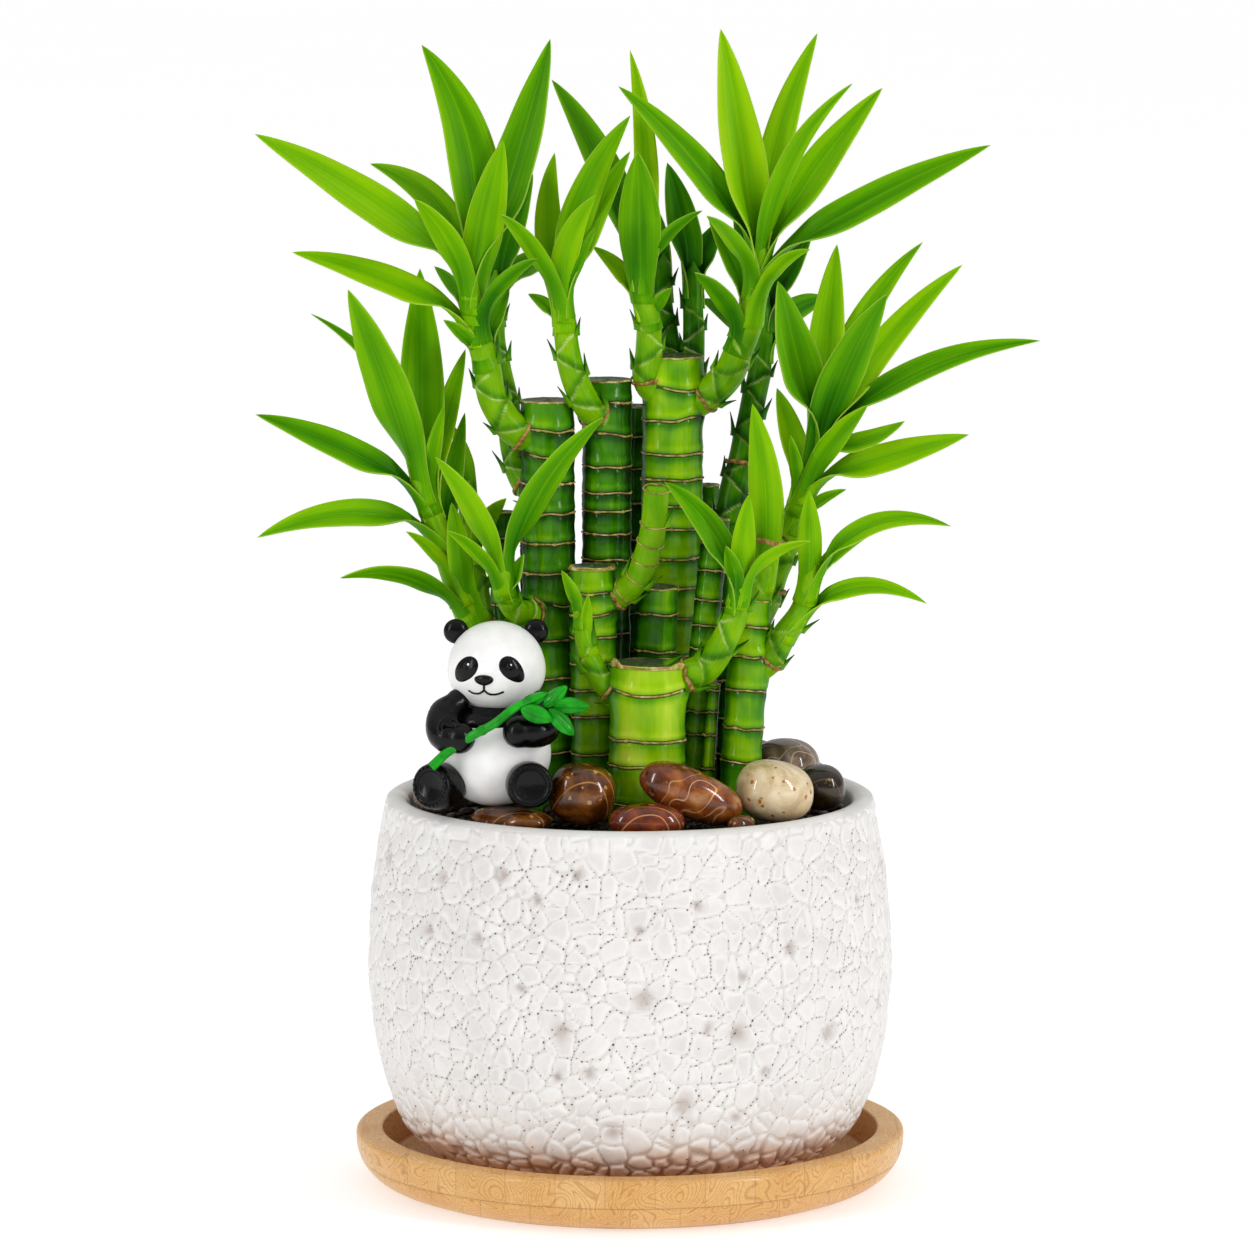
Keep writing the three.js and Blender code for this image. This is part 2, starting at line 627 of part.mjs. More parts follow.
function makeArms(grow = 0) {
  return join([
    ellipsoid([-46.5, -36, 129.5], [5.8, 6.2, 8.8], -12, grow, 8),
    ellipsoid([-42.5, -41, 125.5], [5, 5.2, 6], 20, grow, 8),
    ellipsoid([-36, -35, 131.5], [12, 9.8, 5.2], 0, grow, 8),
    ellipsoid([-26, -41, 129], [7.7, 6.4, 5.2], 8, grow, 8),
  ]);
}

function makeSprig() {
  const stalk = makeStem(new THREE.CatmullRomCurve3(SPRIG_ROUTE.map(vector)), [SPRIG_RADIUS, SPRIG_RADIUS]);
  const leaves = SPRIG_LEAVES.map(([centre, radii, tilt]) => ellipsoid(centre, radii, tilt, 0, 6));
  return join([stalk, ...leaves]);
}

// ---- Assembly ----

addNode('saucer', makeSaucer(), FINISHES.bamboo);
addNode('pot', makePot(), FINISHES.ceramic);
addNode('soil', makeSoil(), FINISHES.soil);

Object.entries(CANES).forEach(([name, cane]) => addNode(name, makeCane(cane), FINISHES.plant));

Object.entries(PEBBLES).forEach(([name, pebble]) => {
  addNode(name, makePebble(pebble), FINISHES[pebble[0]]);
});

const bodySpace = makePandaBody(GAP);
const armSpace = makeArms(GAP);
addNode('panda_body', makePandaBody(), FINISHES.white);
addNode('panda_arms', makeArms().subtract(bodySpace), FINISHES.black);
addNode('panda_nose', ellipsoid([-38, -43.4, 142], [2.4, 1.6, 1.5], 0, 0, 8).subtract(bodySpace), FINISHES.black);
addNode('panda_sprig', makeSprig().subtract(armSpace).subtract(bodySpace), FINISHES.sprig);
['left', 'right'].forEach((side) => {
  const ear = ellipsoid(EARS[side], [3.3, 2.2, 3.3], 0, 0, 8);
  const eyePatch = ellipsoid(EYES[side], [2.9, 1.6, 4], EYE_TILT[side], 0, 8);
  const foot = ellipsoid(...FEET[side]).subtract(armSpace);
  addNode(`panda_ear_${side}`, ear.subtract(bodySpace), FINISHES.black);
  addNode(`panda_eye_patch_${side}`, eyePatch.subtract(bodySpace), FINISHES.black);
  addNode(`panda_foot_${side}`, foot.subtract(bodySpace), FINISHES.black);
});

export default object;
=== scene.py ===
# A lucky bamboo in a crackled white pot on a bamboo saucer, with pebbles and a panda figurine.
# Sizes are in millimetres until a piece is finished, then metres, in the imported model's frame:
# +Z up, -Y to the front.

import bisect
import math
import random
from collections import namedtuple
from functools import partial

import bmesh
import bpy
from mathutils import Matrix, Vector, noise


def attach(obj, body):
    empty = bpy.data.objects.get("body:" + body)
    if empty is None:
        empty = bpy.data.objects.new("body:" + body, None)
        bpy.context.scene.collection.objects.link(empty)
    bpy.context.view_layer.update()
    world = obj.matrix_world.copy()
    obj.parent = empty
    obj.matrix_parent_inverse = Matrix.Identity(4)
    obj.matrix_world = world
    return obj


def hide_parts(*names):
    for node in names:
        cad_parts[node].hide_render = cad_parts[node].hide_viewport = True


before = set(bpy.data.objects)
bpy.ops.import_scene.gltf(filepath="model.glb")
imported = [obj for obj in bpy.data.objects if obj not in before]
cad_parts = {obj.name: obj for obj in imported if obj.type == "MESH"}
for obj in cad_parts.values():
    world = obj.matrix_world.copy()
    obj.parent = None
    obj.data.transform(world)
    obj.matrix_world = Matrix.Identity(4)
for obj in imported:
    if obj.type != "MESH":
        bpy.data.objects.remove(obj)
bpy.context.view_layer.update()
noise.seed_set(5)                # otherwise noise vectors start from the clock

MM = 0.001
UP = Vector((0, 0, 1))
BACK = Vector((0, 1, 0))
FRONT = Vector((0, -1, 0))
TURN = 2 * math.pi
WELD = 1e-4                      # points closer than this, in mm, are one

# ---- Camera, floor and light ----

VIEW_TARGET = Vector((-0.0008, 0, 0.1497))
VIEW_DISTANCE = 1.9
VIEW_ELEVATION = math.radians(7.9)
VIEW_WIDTH = 0.3338              # what the frame spans at the target
SENSOR = 36.0


def add_camera():
    data = bpy.data.cameras.new("camera")
    data.sensor_width = SENSOR
    data.lens = SENSOR * VIEW_DISTANCE / VIEW_WIDTH
    data.clip_end = 50
    camera = bpy.data.objects.new("camera", data)
    look = Vector((0, math.cos(VIEW_ELEVATION), -math.sin(VIEW_ELEVATION)))
    camera.location = VIEW_TARGET - look * VIEW_DISTANCE
    camera.rotation_euler = look.to_track_quat("-Z", "Y").to_euler()
    bpy.context.scene.collection.objects.link(camera)
    bpy.context.scene.camera = camera


def add_softbox(name, place, aim, size, power):
    data = bpy.data.lights.new(name, "AREA")
    data.shape = "RECTANGLE"
    data.size, data.size_y = size
    data.energy = power
    light = bpy.data.objects.new(name, data)
    light.location = place
    light.rotation_euler = (Vector(aim) - Vector(place)).to_track_quat("-Z", "Y").to_euler()
    bpy.context.scene.collection.objects.link(light)


# ---- Shapes ----

Cane = namedtuple("Cane", "foot top radius rings shoots")
Shoot = namedtuple("Shoot", "radius route leaves")


def smooth(low, high, value):
    """0 below low, 1 above high, and an eased step between."""
    share = min(1.0, max(0.0, (value - low) / (high - low)))
    return share * share * (3 - 2 * share)


def mix(a, b, share):
    return a + (b - a) * share


def polar(r, angle, z=0.0):
    """The point at a radius, an angle from +X and a height."""
    return Vector((r * math.cos(angle), r * math.sin(angle), z))


def swing(side, back, angle):
    """The way out at an angle round an axis, from two ways across it."""
    return side * math.cos(angle) + back * math.sin(angle)


def pose(place, tilt=0, turn=0, radii=(1, 1, 1)):
    """A matrix that scales by radii, tilts about Y and turns about Z in degrees, and moves to a place."""
    return (Matrix.Translation(place) @ Matrix.Rotation(math.radians(turn), 4, "Z")
            @ Matrix.Rotation(math.radians(tilt), 4, "Y") @ Matrix.Diagonal((*radii, 1)))


def facing(place, way):
    """A matrix that turns +Z to a way and moves to a place."""
    return Matrix.Translation(place) @ way.to_track_quat("Z", "Y").to_matrix().to_4x4()


def trace(points, steps=24):
    """Close points along the centripetal curve through the given ones."""
    knots = [Vector(point) for point in points]
    knots = [2 * knots[0] - knots[1], *knots, 2 * knots[-1] - knots[-2]]
    path = []
    for a, b, c, d in zip(knots, knots[1:], knots[2:], knots[3:]):
        ab, bc, cd = math.sqrt((b - a).length), math.sqrt((c - b).length), math.sqrt((d - c).length)
        start = ((b - a) / ab - (c - a) / (ab + bc) + (c - b) / bc) * bc
        end = ((c - b) / bc - (d - b) / (bc + cd) + (d - c) / cd) * bc
        for i in range(steps):
            t = i / steps
            path.append(b + start * t + (3 * (c - b) - 2 * start - end) * t ** 2
                        + (2 * (b - c) + start + end) * t ** 3)
    path.append(knots[-2])
    return path


class Route:
    """A smooth curve measured by the distance along it."""

    def __init__(self, points):
        self.path = trace(points)
        self.reach = [0.0]
        for a, b in zip(self.path, self.path[1:]):
            self.reach.append(self.reach[-1] + (b - a).length)
        self.length = self.reach[-1]

    def at(self, distance):
        """The point and direction at a distance, straight on past either end."""
        index = bisect.bisect_right(self.reach, distance) - 1
        index = min(max(index, 0), len(self.path) - 2)
        direction = (self.path[index + 1] - self.path[index]).normalized()
        return self.path[index] + direction * (distance - self.reach[index]), direction


def bend_grid(bm, across, along, place, marks=None):
    """Adds a grid with its UVs and moves its vertices to place(u, v), with u and v from 0 to 1.
    marks(u, v) gives the values of the mesh's number layers there, by name."""
    bm.loops.layers.uv.verify()
    verts = bmesh.ops.create_grid(bm, x_segments=across, y_segments=along, size=1, calc_uvs=True)["verts"]
    for vert in verts:
        u, v = (vert.co.x + 1) / 2, (vert.co.y + 1) / 2
        if marks:
            for name, value in marks(u, v).items():
                vert[bm.verts.layers.float[name]] = value
        vert.co = place(u, v)
    return verts


def weld(bm, verts):
    bmesh.ops.remove_doubles(bm, verts=verts, dist=WELD)


def close_tube(bm, verts):
    """Welds the seam of a grid that was bent into a tube, and fills its two ends."""
    weld(bm, verts)
    ends = dict.fromkeys(edge for vert in verts if vert.is_valid for edge in vert.link_edges if edge.is_boundary)
    bmesh.ops.holes_fill(bm, edges=list(ends))


def new_bmesh(*marks):
    bm = bmesh.new()
    for name in marks:
        bm.verts.layers.float.new(name)
    return bm


def pour(batch, whole):
    """Adds a small batch of shapes to a whole, and gives a new empty batch."""
    mesh = bpy.data.meshes.new("batch")
    batch.to_mesh(mesh)
    batch.free()
    whole.from_mesh(mesh)
    bpy.data.meshes.remove(mesh)
    return bmesh.new()


def spin_outline(bm, outline, steps):
    """Turns an outline of (radius, height) points about Z. Points on the axis close it."""
    verts = [bm.verts.new((r, 0, z)) for r, z in outline]
    edges = [bm.edges.new(pair) for pair in zip(verts, verts[1:])]
    bmesh.ops.spin(bm, geom=verts + edges, axis=UP, cent=(0, 0, 0), angle=TURN, steps=steps, use_merge=True)
    weld(bm, bm.verts)


def arc(centre, radius, start, end, steps):
    """Points of an arc in an outline, its angles in degrees from the radius axis."""
    angles = [math.radians(mix(start, end, i / steps)) for i in range(steps + 1)]
    return [(centre[0] + radius * math.cos(a), centre[1] + radius * math.sin(a)) for a in angles]


def make_piece(name, bm, material, slot, *nodes, welded=True):
    """Finishes a mesh as a piece of the object that stands for some CAD nodes."""
    if welded:
        weld(bm, bm.verts)
    bmesh.ops.recalc_face_normals(bm, faces=bm.faces)
    bmesh.ops.scale(bm, vec=(MM, MM, MM), verts=bm.verts)
    mesh = bpy.data.meshes.new(name)
    bm.to_mesh(mesh)
    bm.free()
    mesh.shade_smooth()
    mesh.materials.append(material)
    piece = bpy.data.objects.new(name, mesh)
    bpy.context.scene.collection.objects.link(piece)
    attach(piece, "root")
    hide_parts(*nodes)
    return piece


# ---- Materials ----

def ink(code, alpha=1.0):
    """An sRGB hex colour as linear numbers."""
    channels = [int(code[i:i + 2], 16) / 255 for i in (0, 2, 4)]
    linear = [c / 12.92 if c <= 0.04045 else ((c + 0.055) / 1.055) ** 2.4 for c in channels]
    return (*linear, alpha)


# The setting that the second word of a node's kind stands for.
MODES = {"Math": "operation", "MapRange": "interpolation_type", "Mix": "data_type", "Attribute": "attribute_name",
         "TexNoise": "noise_dimensions", "TexWhiteNoise": "noise_dimensions"}


def put(tree, kind, *values, stops=None, **named):
    """Adds a shader node with its setting, and fills its inputs in order and by name. A value is a
    number, a colour's hex code, an output to link, or a node, which gives its first output."""
    kind, _, mode = kind.partition(" ")
    node = tree.nodes.new("ShaderNode" + kind)
    if mode:
        setattr(node, MODES[kind], mode)
    filled = list(zip([socket for socket in node.inputs if socket.enabled], values))
    filled += [(node.inputs[name.replace("_", " ")], value) for name, value in named.items()]
    for socket, value in filled:
        if isinstance(value, bpy.types.Node):
            value = next(output for output in value.outputs if output.enabled)
        if isinstance(value, bpy.types.NodeSocket):
            tree.links.new(value, socket)
        else:
            socket.default_value = ink(value) if isinstance(value, str) else value
    if stops:
        ramp = node.color_ramp.elements
        ramp.remove(ramp[1])
        for index, (place, colour) in enumerate(stops.items()):
            stop = ramp.new(place) if index else ramp[0]
            stop.position, stop.color = place, ink(colour)
    return node


def new_material(name):
    """A material, the function that adds a node to it, and the place on the object."""
    material = bpy.data.materials.new(name)
    material.use_nodes = True
    material.node_tree.nodes.clear()
    add = partial(put, material.node_tree)
    return material, add, add("TexCoord").outputs["Object"]


def make_leaf_material():
    """Living leaf: a waxy blade, paler at its margins, whose veins run its length as faint streaks."""
    material, add, _ = new_material("waxy_green_leaf")
    uv = add("TexCoord").outputs["UV"]
    tone = add("Attribute tone").outputs["Fac"]
    seed = add("Math MULTIPLY", tone, 37)
    # Veins are some 0.4 mm apart on a blade 10 mm wide, and clouds about 4 mm wide.
    long = add("Mapping", uv, Scale=(26, 0.9, 1))
    veins = add("TexNoise 4D", long, seed, 1, 3)
    broad = add("Mapping", uv, Scale=(2.4, 1.8, 1))
    cloud = add("TexNoise 4D", broad, seed, 1, 1)
    place = add("SeparateXYZ", uv)
    centre = add("Math ABSOLUTE", add("Math SUBTRACT", place, 0.5))
    shade = add("Math MULTIPLY_ADD", veins, 0.3, tone)
    shade = add("Math MULTIPLY_ADD", cloud, 0.4, shade)
    for way, *span in ((place.outputs[1], 0, 0.45, -0.65, -0.45),    # darker with painted shade near its root,
                       (place.outputs[1], 0, 0.16, 0.24, 0),         # with the stem's green where it clasps it,
                       (centre, 0.12, 0.5, -0.05, 0.12),             # and paler at its margins
                       (centre, 0.02, 0.004, 0, 0.1)):               # and on its midrib
        shade = add("Math", shade, add("MapRange", way, *span))
    green = add("ValToRGB", shade, stops={0.0: "0E3A00", 0.2: "2E7400", 0.4: "569A00", 0.55: "74B200",
        0.72: "92C404", 1.0: "C2E03A"})
    rim = add("MapRange", centre, 0.465, 0.495, 0, 0.4)
    colour = add("Mix RGBA", rim, green, "C6E060")
    bump = add("Bump", Strength=0.2, Distance=0.0002, Height=veins)
    add("OutputMaterial", add("BsdfPrincipled", Base_Color=colour, Normal=bump, Roughness=0.42, IOR=1.45,
        Specular_IOR_Level=0.06, Subsurface_Weight=0.1, Subsurface_Scale=0.0012))
    return material


def make_sheath_material():
    """Leaf sheath: smooth clasping skin, with painted shade where it comes out of the last one, pale and dry at its
    edge.
    """
    material, add, spot = new_material("green_leaf_sheath")
    edge, under, tone = [add("Attribute " + mark).outputs["Fac"] for mark in ("edge", "under", "tone")]
    long = add("Mapping", add("TexCoord").outputs["UV"], Scale=(30, 6, 1))
    veins = add("TexNoise", long, 1, 3)
    cloud = add("TexNoise", spot, 170, 2)
    shade = add("Math MULTIPLY_ADD", veins, 0.22, tone)
    shade = add("Math MULTIPLY_ADD", cloud, 0.4, shade)
    # Painted shade where the stem comes out of the last sheath.
    shade = add("Math MULTIPLY_ADD", under, -0.2, shade)
    shade = add("Math SUBTRACT", shade, 0.36)
    green = add("ValToRGB", shade, stops={0.0: "0A2A00", 0.25: "2A6C00", 0.5: "66A400", 0.72: "92C008",
        1.0: "C4DC40"})
    dry = add("ValToRGB", cloud, stops={0.38: "8E7030", 0.48: "B2B854", 0.62: "D6E49A"})
    patchy = add("MapRange", cloud, 0.35, 0.6, 0.15, 0.65)
    share = add("Math MULTIPLY", edge, patchy)
    colour = add("Mix RGBA", share, green, dry)
    bump = add("Bump", Strength=0.2, Distance=0.0002, Height=veins)
    add("OutputMaterial", add("BsdfPrincipled", Base_Color=colour, Normal=bump, Roughness=0.36, IOR=1.45,
        Specular_IOR_Level=0.07, Subsurface_Weight=0.08, Subsurface_Scale=0.001, Coat_Weight=0.07,
        Coat_Roughness=0.16))
    return material


def make_culm_material():
    """Living cane: a glossy waxy skin, softly clouded, with painted shade round each node ring, a painted shadow line
    along it and painted light just above it.
    """
    material, add, spot = new_material("waxy_green_cane")
    near, rise, tone, cut = [add("Attribute " + mark).outputs["Fac"] for mark in ("ring", "rise", "tone", "cut")]
    # Clouds are about 8 mm wide, and the faint streaks 0.8 mm wide and 12 mm long.
    tall = add("Mapping", spot, Scale=(130, 130, 70))
    cloud = add("TexNoise", tall, 1, 2, Distortion=0.3)
    long = add("Mapping", spot, Scale=(1200, 1200, 80))
    streaks = add("TexNoise", long, 1, 3)
    shade = add("Math MULTIPLY_ADD", cloud, 0.75, tone)
    shade = add("Math MULTIPLY_ADD", streaks, 0.16, shade)
    # Painted shade within some 2 mm of each node ring.
    ring_shade = add("MapRange SMOOTHSTEP", near, 0.4, 2.2, -0.6, -0.455)
    shade = add("Math", shade, ring_shade)
    # Painted shade just under each ring and painted light just above it.
    shade = add("Math MULTIPLY_ADD", rise, 0.13, shade)
    green = add("ValToRGB", shade, stops={0.0: "0A2A00", 0.22: "1C5800", 0.45: "438A00", 0.62: "74B000",
        0.8: "9CCA08", 1.0: "C8E03C"})
    # A painted shadow line along each node ring.
    ring_shadow_line = add("MapRange SMOOTHSTEP", near, 0.75, 0.4, 0, 0.85)
    colour = add("Mix RGBA", ring_shadow_line, green, "2A2208")
    pith = add("ValToRGB", streaks, stops={0.35: "2C3A20", 0.6: "5A6A48"})
    colour = add("Mix RGBA", cut, colour, pith)
    bump = add("Bump", Strength=0.18, Distance=0.0004, Height=cloud)
    wax = add("MapRange", add("LayerWeight").outputs["Facing"], 0.35, 0.8, 0.3, 0)
    add("OutputMaterial", add("BsdfPrincipled", Base_Color=colour, Normal=bump, Roughness=0.32, IOR=1.45,
        Specular_IOR_Level=0.04, Subsurface_Weight=0.06, Subsurface_Scale=0.0015, Coat_Weight=wax,
        Coat_Roughness=0.15))
    return material


# Grained skins: scale, detail and roughness of the grain, its colours, strength and depth of its
# relief in metres, and the roughness, IOR and gloss.
GRAINED = {
    # Dried node scar: corky tan skin, pale where it is thin and brown where it is torn.
    "corky_tan_scar": ((420, 4, 0.65), {0.3: "4E3A10", 0.43: "96803A", 0.56: "BEA85E", 0.7: "E2D698"},
                       (0.5, 0.0002), (0.55, 1.45, 0.3)),
    # Bark at the root of a shoot: thin dry tissue, tan with brown cracks.
    "dry_tan_bark": ((700, 5, 0.7), {0.3: "4A2A12", 0.44: "8C5F2C", 0.58: "B48C50", 0.74: "D8BC84"},
                     (0.7, 0.0003), (0.65, 1.45, 0.25)),
    # Aquarium gravel and damp soil: small dark brown grains with a dull wet gloss.
    "damp_dark_gravel": ((300, 4, 0.65), {0.3: "080402", 0.5: "1C0F07", 0.65: "3C2412", 0.8: "6A452A"},
                         (0.5, 0.0005), (0.4, 1.5, 0.3)),
}


def make_grained_material(name):
    """One of the grained skins."""
    fibre, stops, (strength, depth), (roughness, ior, gloss) = GRAINED[name]
    material, add, spot = new_material(name)
    grain = add("TexNoise", spot, *fibre)
    bump = add("Bump", Strength=strength, Distance=depth, Height=grain)
    add("OutputMaterial", add("BsdfPrincipled", Base_Color=add("ValToRGB", grain, stops=stops), Normal=bump,
        Roughness=roughness, IOR=ior, Specular_IOR_Level=gloss))
    return material


def make_crackle_material():
    """Crackle-glazed stoneware: satin white skin with a whiter painted highlight along its raised seams and painted
    shade in their creases, pinkish brown where it runs thin.
    """
    material, add, spot = new_material("white_crackle_stoneware")
    seam, crater = [add("Attribute " + mark).outputs["Fac"] for mark in ("seam", "crater")]
    height = add("SeparateXYZ", spot).outputs[2]
    cloud = add("TexNoise", spot, 90, 4, 0.6)
    skin = add("ValToRGB", cloud, stops={0.3: "DAD6D3", 0.5: "E3DFDD", 0.7: "EBE9E7"})
    # Painted highlight whitens the glaze beside each seam, and painted shade greys the crease along it.
    lip = add("MapRange SMOOTHSTEP", seam, 1.5, 0.6, 0, 0.6)
    gap = add("MapRange SMOOTHSTEP", seam, 0.5, 0.12, 0, 0.6)
    # The glaze runs thin round the foot, where the creases between the scales hold brown.
    low = add("Math MULTIPLY_ADD", cloud, -0.012, height)
    thin = add("MapRange SMOOTHSTEP", low, 0.0175, 0.0065, 0, 0.8)
    deep = add("MapRange SMOOTHSTEP", low, 0.018, 0.007, 0, 0.5)
    crease = add("Math MULTIPLY", add("MapRange SMOOTHSTEP", seam, 1, 0.25), deep)
    burst = add("Math MULTIPLY", add("Math POWER", crater, 1.6), 0.65)
    colour = skin
    for share, laid in (lip, "F4F2F0"), (gap, "CCC6C1"), (thin, "E8B48E"), (crease, "94684C"), (burst, "AA968B"):
        colour = add("Mix RGBA", share, colour, laid)
    fine = add("TexNoise", spot, 700, 3)
    plain = add("MapRange", height, 0.1047, 0.1037)
    relief = add("MapRange SMOOTHSTEP", seam, 0.1, 0.9)
    relief = add("Math MULTIPLY_ADD", fine, 0.35, relief)
    bump = add("Bump", Strength=0.45, Distance=0.0005, Height=add("Math MULTIPLY", relief, plain))
    add("OutputMaterial", add("BsdfPrincipled", Base_Color=colour, Normal=bump, Roughness=0.42, IOR=1.5,
        Specular_IOR_Level=0.35, Coat_Weight=0.08, Coat_Roughness=0.3))
    return material


def make_pinhole_material():
    """Pinholes in the glaze: the bare grey-brown stoneware at the bottom of each, quite matt."""
    material, add, spot = new_material("bare_stoneware_pinhole")
    cloud = add("TexNoise", spot, 500, 1)
    colour = add("ValToRGB", cloud, stops={0.35: "54423A", 0.55: "80695C", 0.7: "AC9888"})
    add("OutputMaterial", add("BsdfPrincipled", Base_Color=colour, Roughness=0.95, Specular_IOR_Level=0.05))
    return material


def make_saucer_material():
    """Lacquered bamboo wood: honey strips glued side by side, end grain as fine dots, under a clear coat."""
    material, add, spot = new_material("lacquered_bamboo_wood")
    place = add("SeparateXYZ", spot)
    # Strips run front to back, and the two glued layers are half a strip apart.
    layer = add("Math GREATER_THAN", place.outputs[2], SAUCER_SEAM * MM)
    strip = add("Math MULTIPLY_ADD", place, 1 / (STRIP * MM), add("Math MULTIPLY", layer, 0.5))
    own = add("CombineXYZ", add("Math FLOOR", strip), layer)
    lot = add("TexWhiteNoise 3D", own)
    beside = add("Math PINGPONG", strip, 0.5)
    glue = add("Math MULTIPLY_ADD", place.outputs[2], 1 / (STRIP * MM), -SAUCER_SEAM / STRIP)
    glue = add("Math ABSOLUTE", glue)
    beside = add("Math MINIMUM", beside, glue)
    # Fibre ends are 0.5 mm dots, drawn out to 12 mm along the strips.
    long = add("Mapping", spot, Scale=(1900, 80, 1900))
    grain = add("TexNoise", long, 1, 4, 0.65)
    cloud = add("TexNoise", spot, 60, 2)
    # The turned side cuts the year lines some 1.5 mm apart, as curls.
    curls = add("TexNoise", spot, 75, 1, Distortion=0.6)
    curls = add("Math PINGPONG", add("Math MULTIPLY", curls, 24), 0.5)
    curls = add("MapRange", curls, 0.2, 0.02, 0, 0.5)
    ends = add("TexVoronoi", add("Mapping", spot, Scale=(620, 160, 620)))
    ends = add("MapRange", ends, 0.28, 0.18, 0, 0.6)
    shade = 0.36
    for tint, share in (grain, 0.35), (lot, 0.08), (cloud, 0.3):
        shade = add("Math MULTIPLY_ADD", tint, share, shade)
    wood = add("ValToRGB", shade, stops={0.45: "A06420", 0.58: "CC9048", 0.7: "DDA964", 0.85: "E8BE82"})
    joint = add("MapRange", beside, 0.016, 0.006, 0, 0.28)
    for share, laid in (curls, "A87030"), (ends, "96601F"), (joint, "8A5A24"):
        wood = add("Mix RGBA", share, wood, laid)
    bump = add("Bump", Strength=0.15, Distance=0.0002, Height=grain)
    add("OutputMaterial", add("BsdfPrincipled", Base_Color=wood, Normal=bump, Roughness=0.42, IOR=1.5,
        Specular_IOR_Level=0.3, Coat_Weight=0.2, Coat_Roughness=0.15))
    return material


def make_stone_material(name, centre, stops, vein, speck, cell, dots, vein_share, speck_share):
    """Tumbled river stone: a clouded body with mineral veins and specks under a wet polish."""
    material, add, spot = new_material(name)
    own = add("Mapping", spot, Location=[-c * MM for c in centre])
    cloud = add("TexNoise", own, 110, 5, 0.6, Distortion=0.8)
    body = add("ValToRGB", cloud, stops=stops)
    # Veins are some 0.3 mm wide and follow the level lines of a slow noise.
    field = add("TexNoise", own, 1000 / cell, 1, 0.3)
    level = add("Math ABSOLUTE", add("Math SUBTRACT", field, 0.5))
    other = add("Math ABSOLUTE", add("Math SUBTRACT", field, 0.61))
    line = add("Math MINIMUM", level, other)
    line = add("MapRange SMOOTHSTEP", line, 0.009, 0.001, 0, vein_share)
    gone = add("TexNoise", own, 90, 2)
    line = add("Math MULTIPLY", line, add("MapRange", gone, 0.4, 0.58))
    colour = add("Mix RGBA", line, body, vein)
    flecks = add("TexVoronoi", own, 1000 / dots)
    ragged = add("TexNoise", own, 900, 2)
    reach = add("Math MULTIPLY_ADD", ragged, 0.6, flecks)
    fleck = add("MapRange", reach, 0.5, 0.44, 0, speck_share)
    colour = add("Mix RGBA", fleck, colour, speck)
    polish = add("MapRange", add("LayerWeight").outputs["Facing"], 0.4, 0.9, 0.7, 0.15)
    add("OutputMaterial", add("BsdfPrincipled", Base_Color=colour, Roughness=0.2, IOR=1.5, Specular_IOR_Level=0.2,
        Coat_Weight=polish, Coat_Roughness=0.09))
    return material


def make_resin_material(name, base, worn, roughness, gloss, grit):
    """Painted cast resin: an even coat of paint, softly mottled, with the casting's fine grit under it."""
    material, add, spot = new_material(name)
    cloud = add("TexNoise", spot, 210, 3)
    share = add("MapRange", cloud, 0.35, 0.65)
    colour = add("Mix RGBA", share, base, worn)
    fine = add("TexNoise", spot, 520, 3)
    bump = add("Bump", Strength=grit, Distance=0.0003, Height=fine)
    add("OutputMaterial", add("BsdfPrincipled", Base_Color=colour, Normal=bump, Roughness=roughness, IOR=1.5,
        Specular_IOR_Level=gloss, Coat_Weight=gloss, Coat_Roughness=0.15))
    return material


def make_floor_material():
    """Seamless paper: matt white with no grain to be seen, lit a little from behind."""
    material, add, spot = new_material("matt_white_paper")
    cloud = add("TexNoise", spot, 3)
    colour = add("Mix RGBA", cloud, "CECECE", "D0D0D0")
    add("OutputMaterial", add("BsdfPrincipled", Base_Color=colour, Roughness=0.9, Specular_IOR_Level=0.1,
        Emission_Color="FFFFFF", Emission_Strength=0.54))
    return material


# ---- Saucer and pot ----

SAUCER_OUTLINE = [
    (0, 0), (62, 0), *arc((61.5, 12.5), 12, -88, -26, 11)[1:], (72.15, 7.46), *arc((61.5, 12.5), 12, -24.3, -8, 4),
    (73.5, 13.4), *arc((72, 13.5), 1.5, 5, 90, 6),
    (67, 15), *arc((66.9, 14.4), 0.6, 90, 180, 4), (65.6, 12), (64.2, 8), *arc((62.4, 7.6), 1.6, -10, -90, 5), (0, 6),
]
SAUCER_SEAM = 7.46               # height of the glue line between its two layers
STRIP = 13                       # width of its strips

POT_BASE = 6.3
POT_FLOOR = 14.3
POT_SIDE = [(50, 6.3), (56.3, 12.2), (60, 16), (63.6, 22), (66.8, 32), (69.2, 45), (70.2, 62), (69.4, 77),
            (67.9, 89), (65.9, 100)]
POT_AROUND = 616
POT_ROWS = 138
CELL = 5.3                       # width of a crackle cell
# Burst glaze bubbles: angle from the front towards +X in degrees, height, radius of the open middle.
CRATERS = [(-30, 93, 1.2), (-21, 87, 1.0), (-12, 94, 0.9), (-47, 90, 1.1), (-50, 76, 1.2), (-35, 76, 1.0),
           (3, 62, 1.9), (-15, 53, 1.8), (-9, 42, 1.1), (-16, 41, 0.9), (24, 52, 1.7), (17, 54, 1.0), (12, 33, 1.6),
           (-4, 26, 1.4), (25, 29, 1.0), (49, 49, 1.6), (31, 41, 0.9), (15, 86, 0.9), (37, 73, 1.1), (2, 80, 0.8),
           (61, 82, 1.0), (-24, 64, 0.8), (25, 67, 0.9)]


def make_saucer():
    bm = new_bmesh()
    spin_outline(bm, SAUCER_OUTLINE, 128)
    make_piece("saucer_bamboo", bm, make_saucer_material(), "bamboo_wood", "saucer")


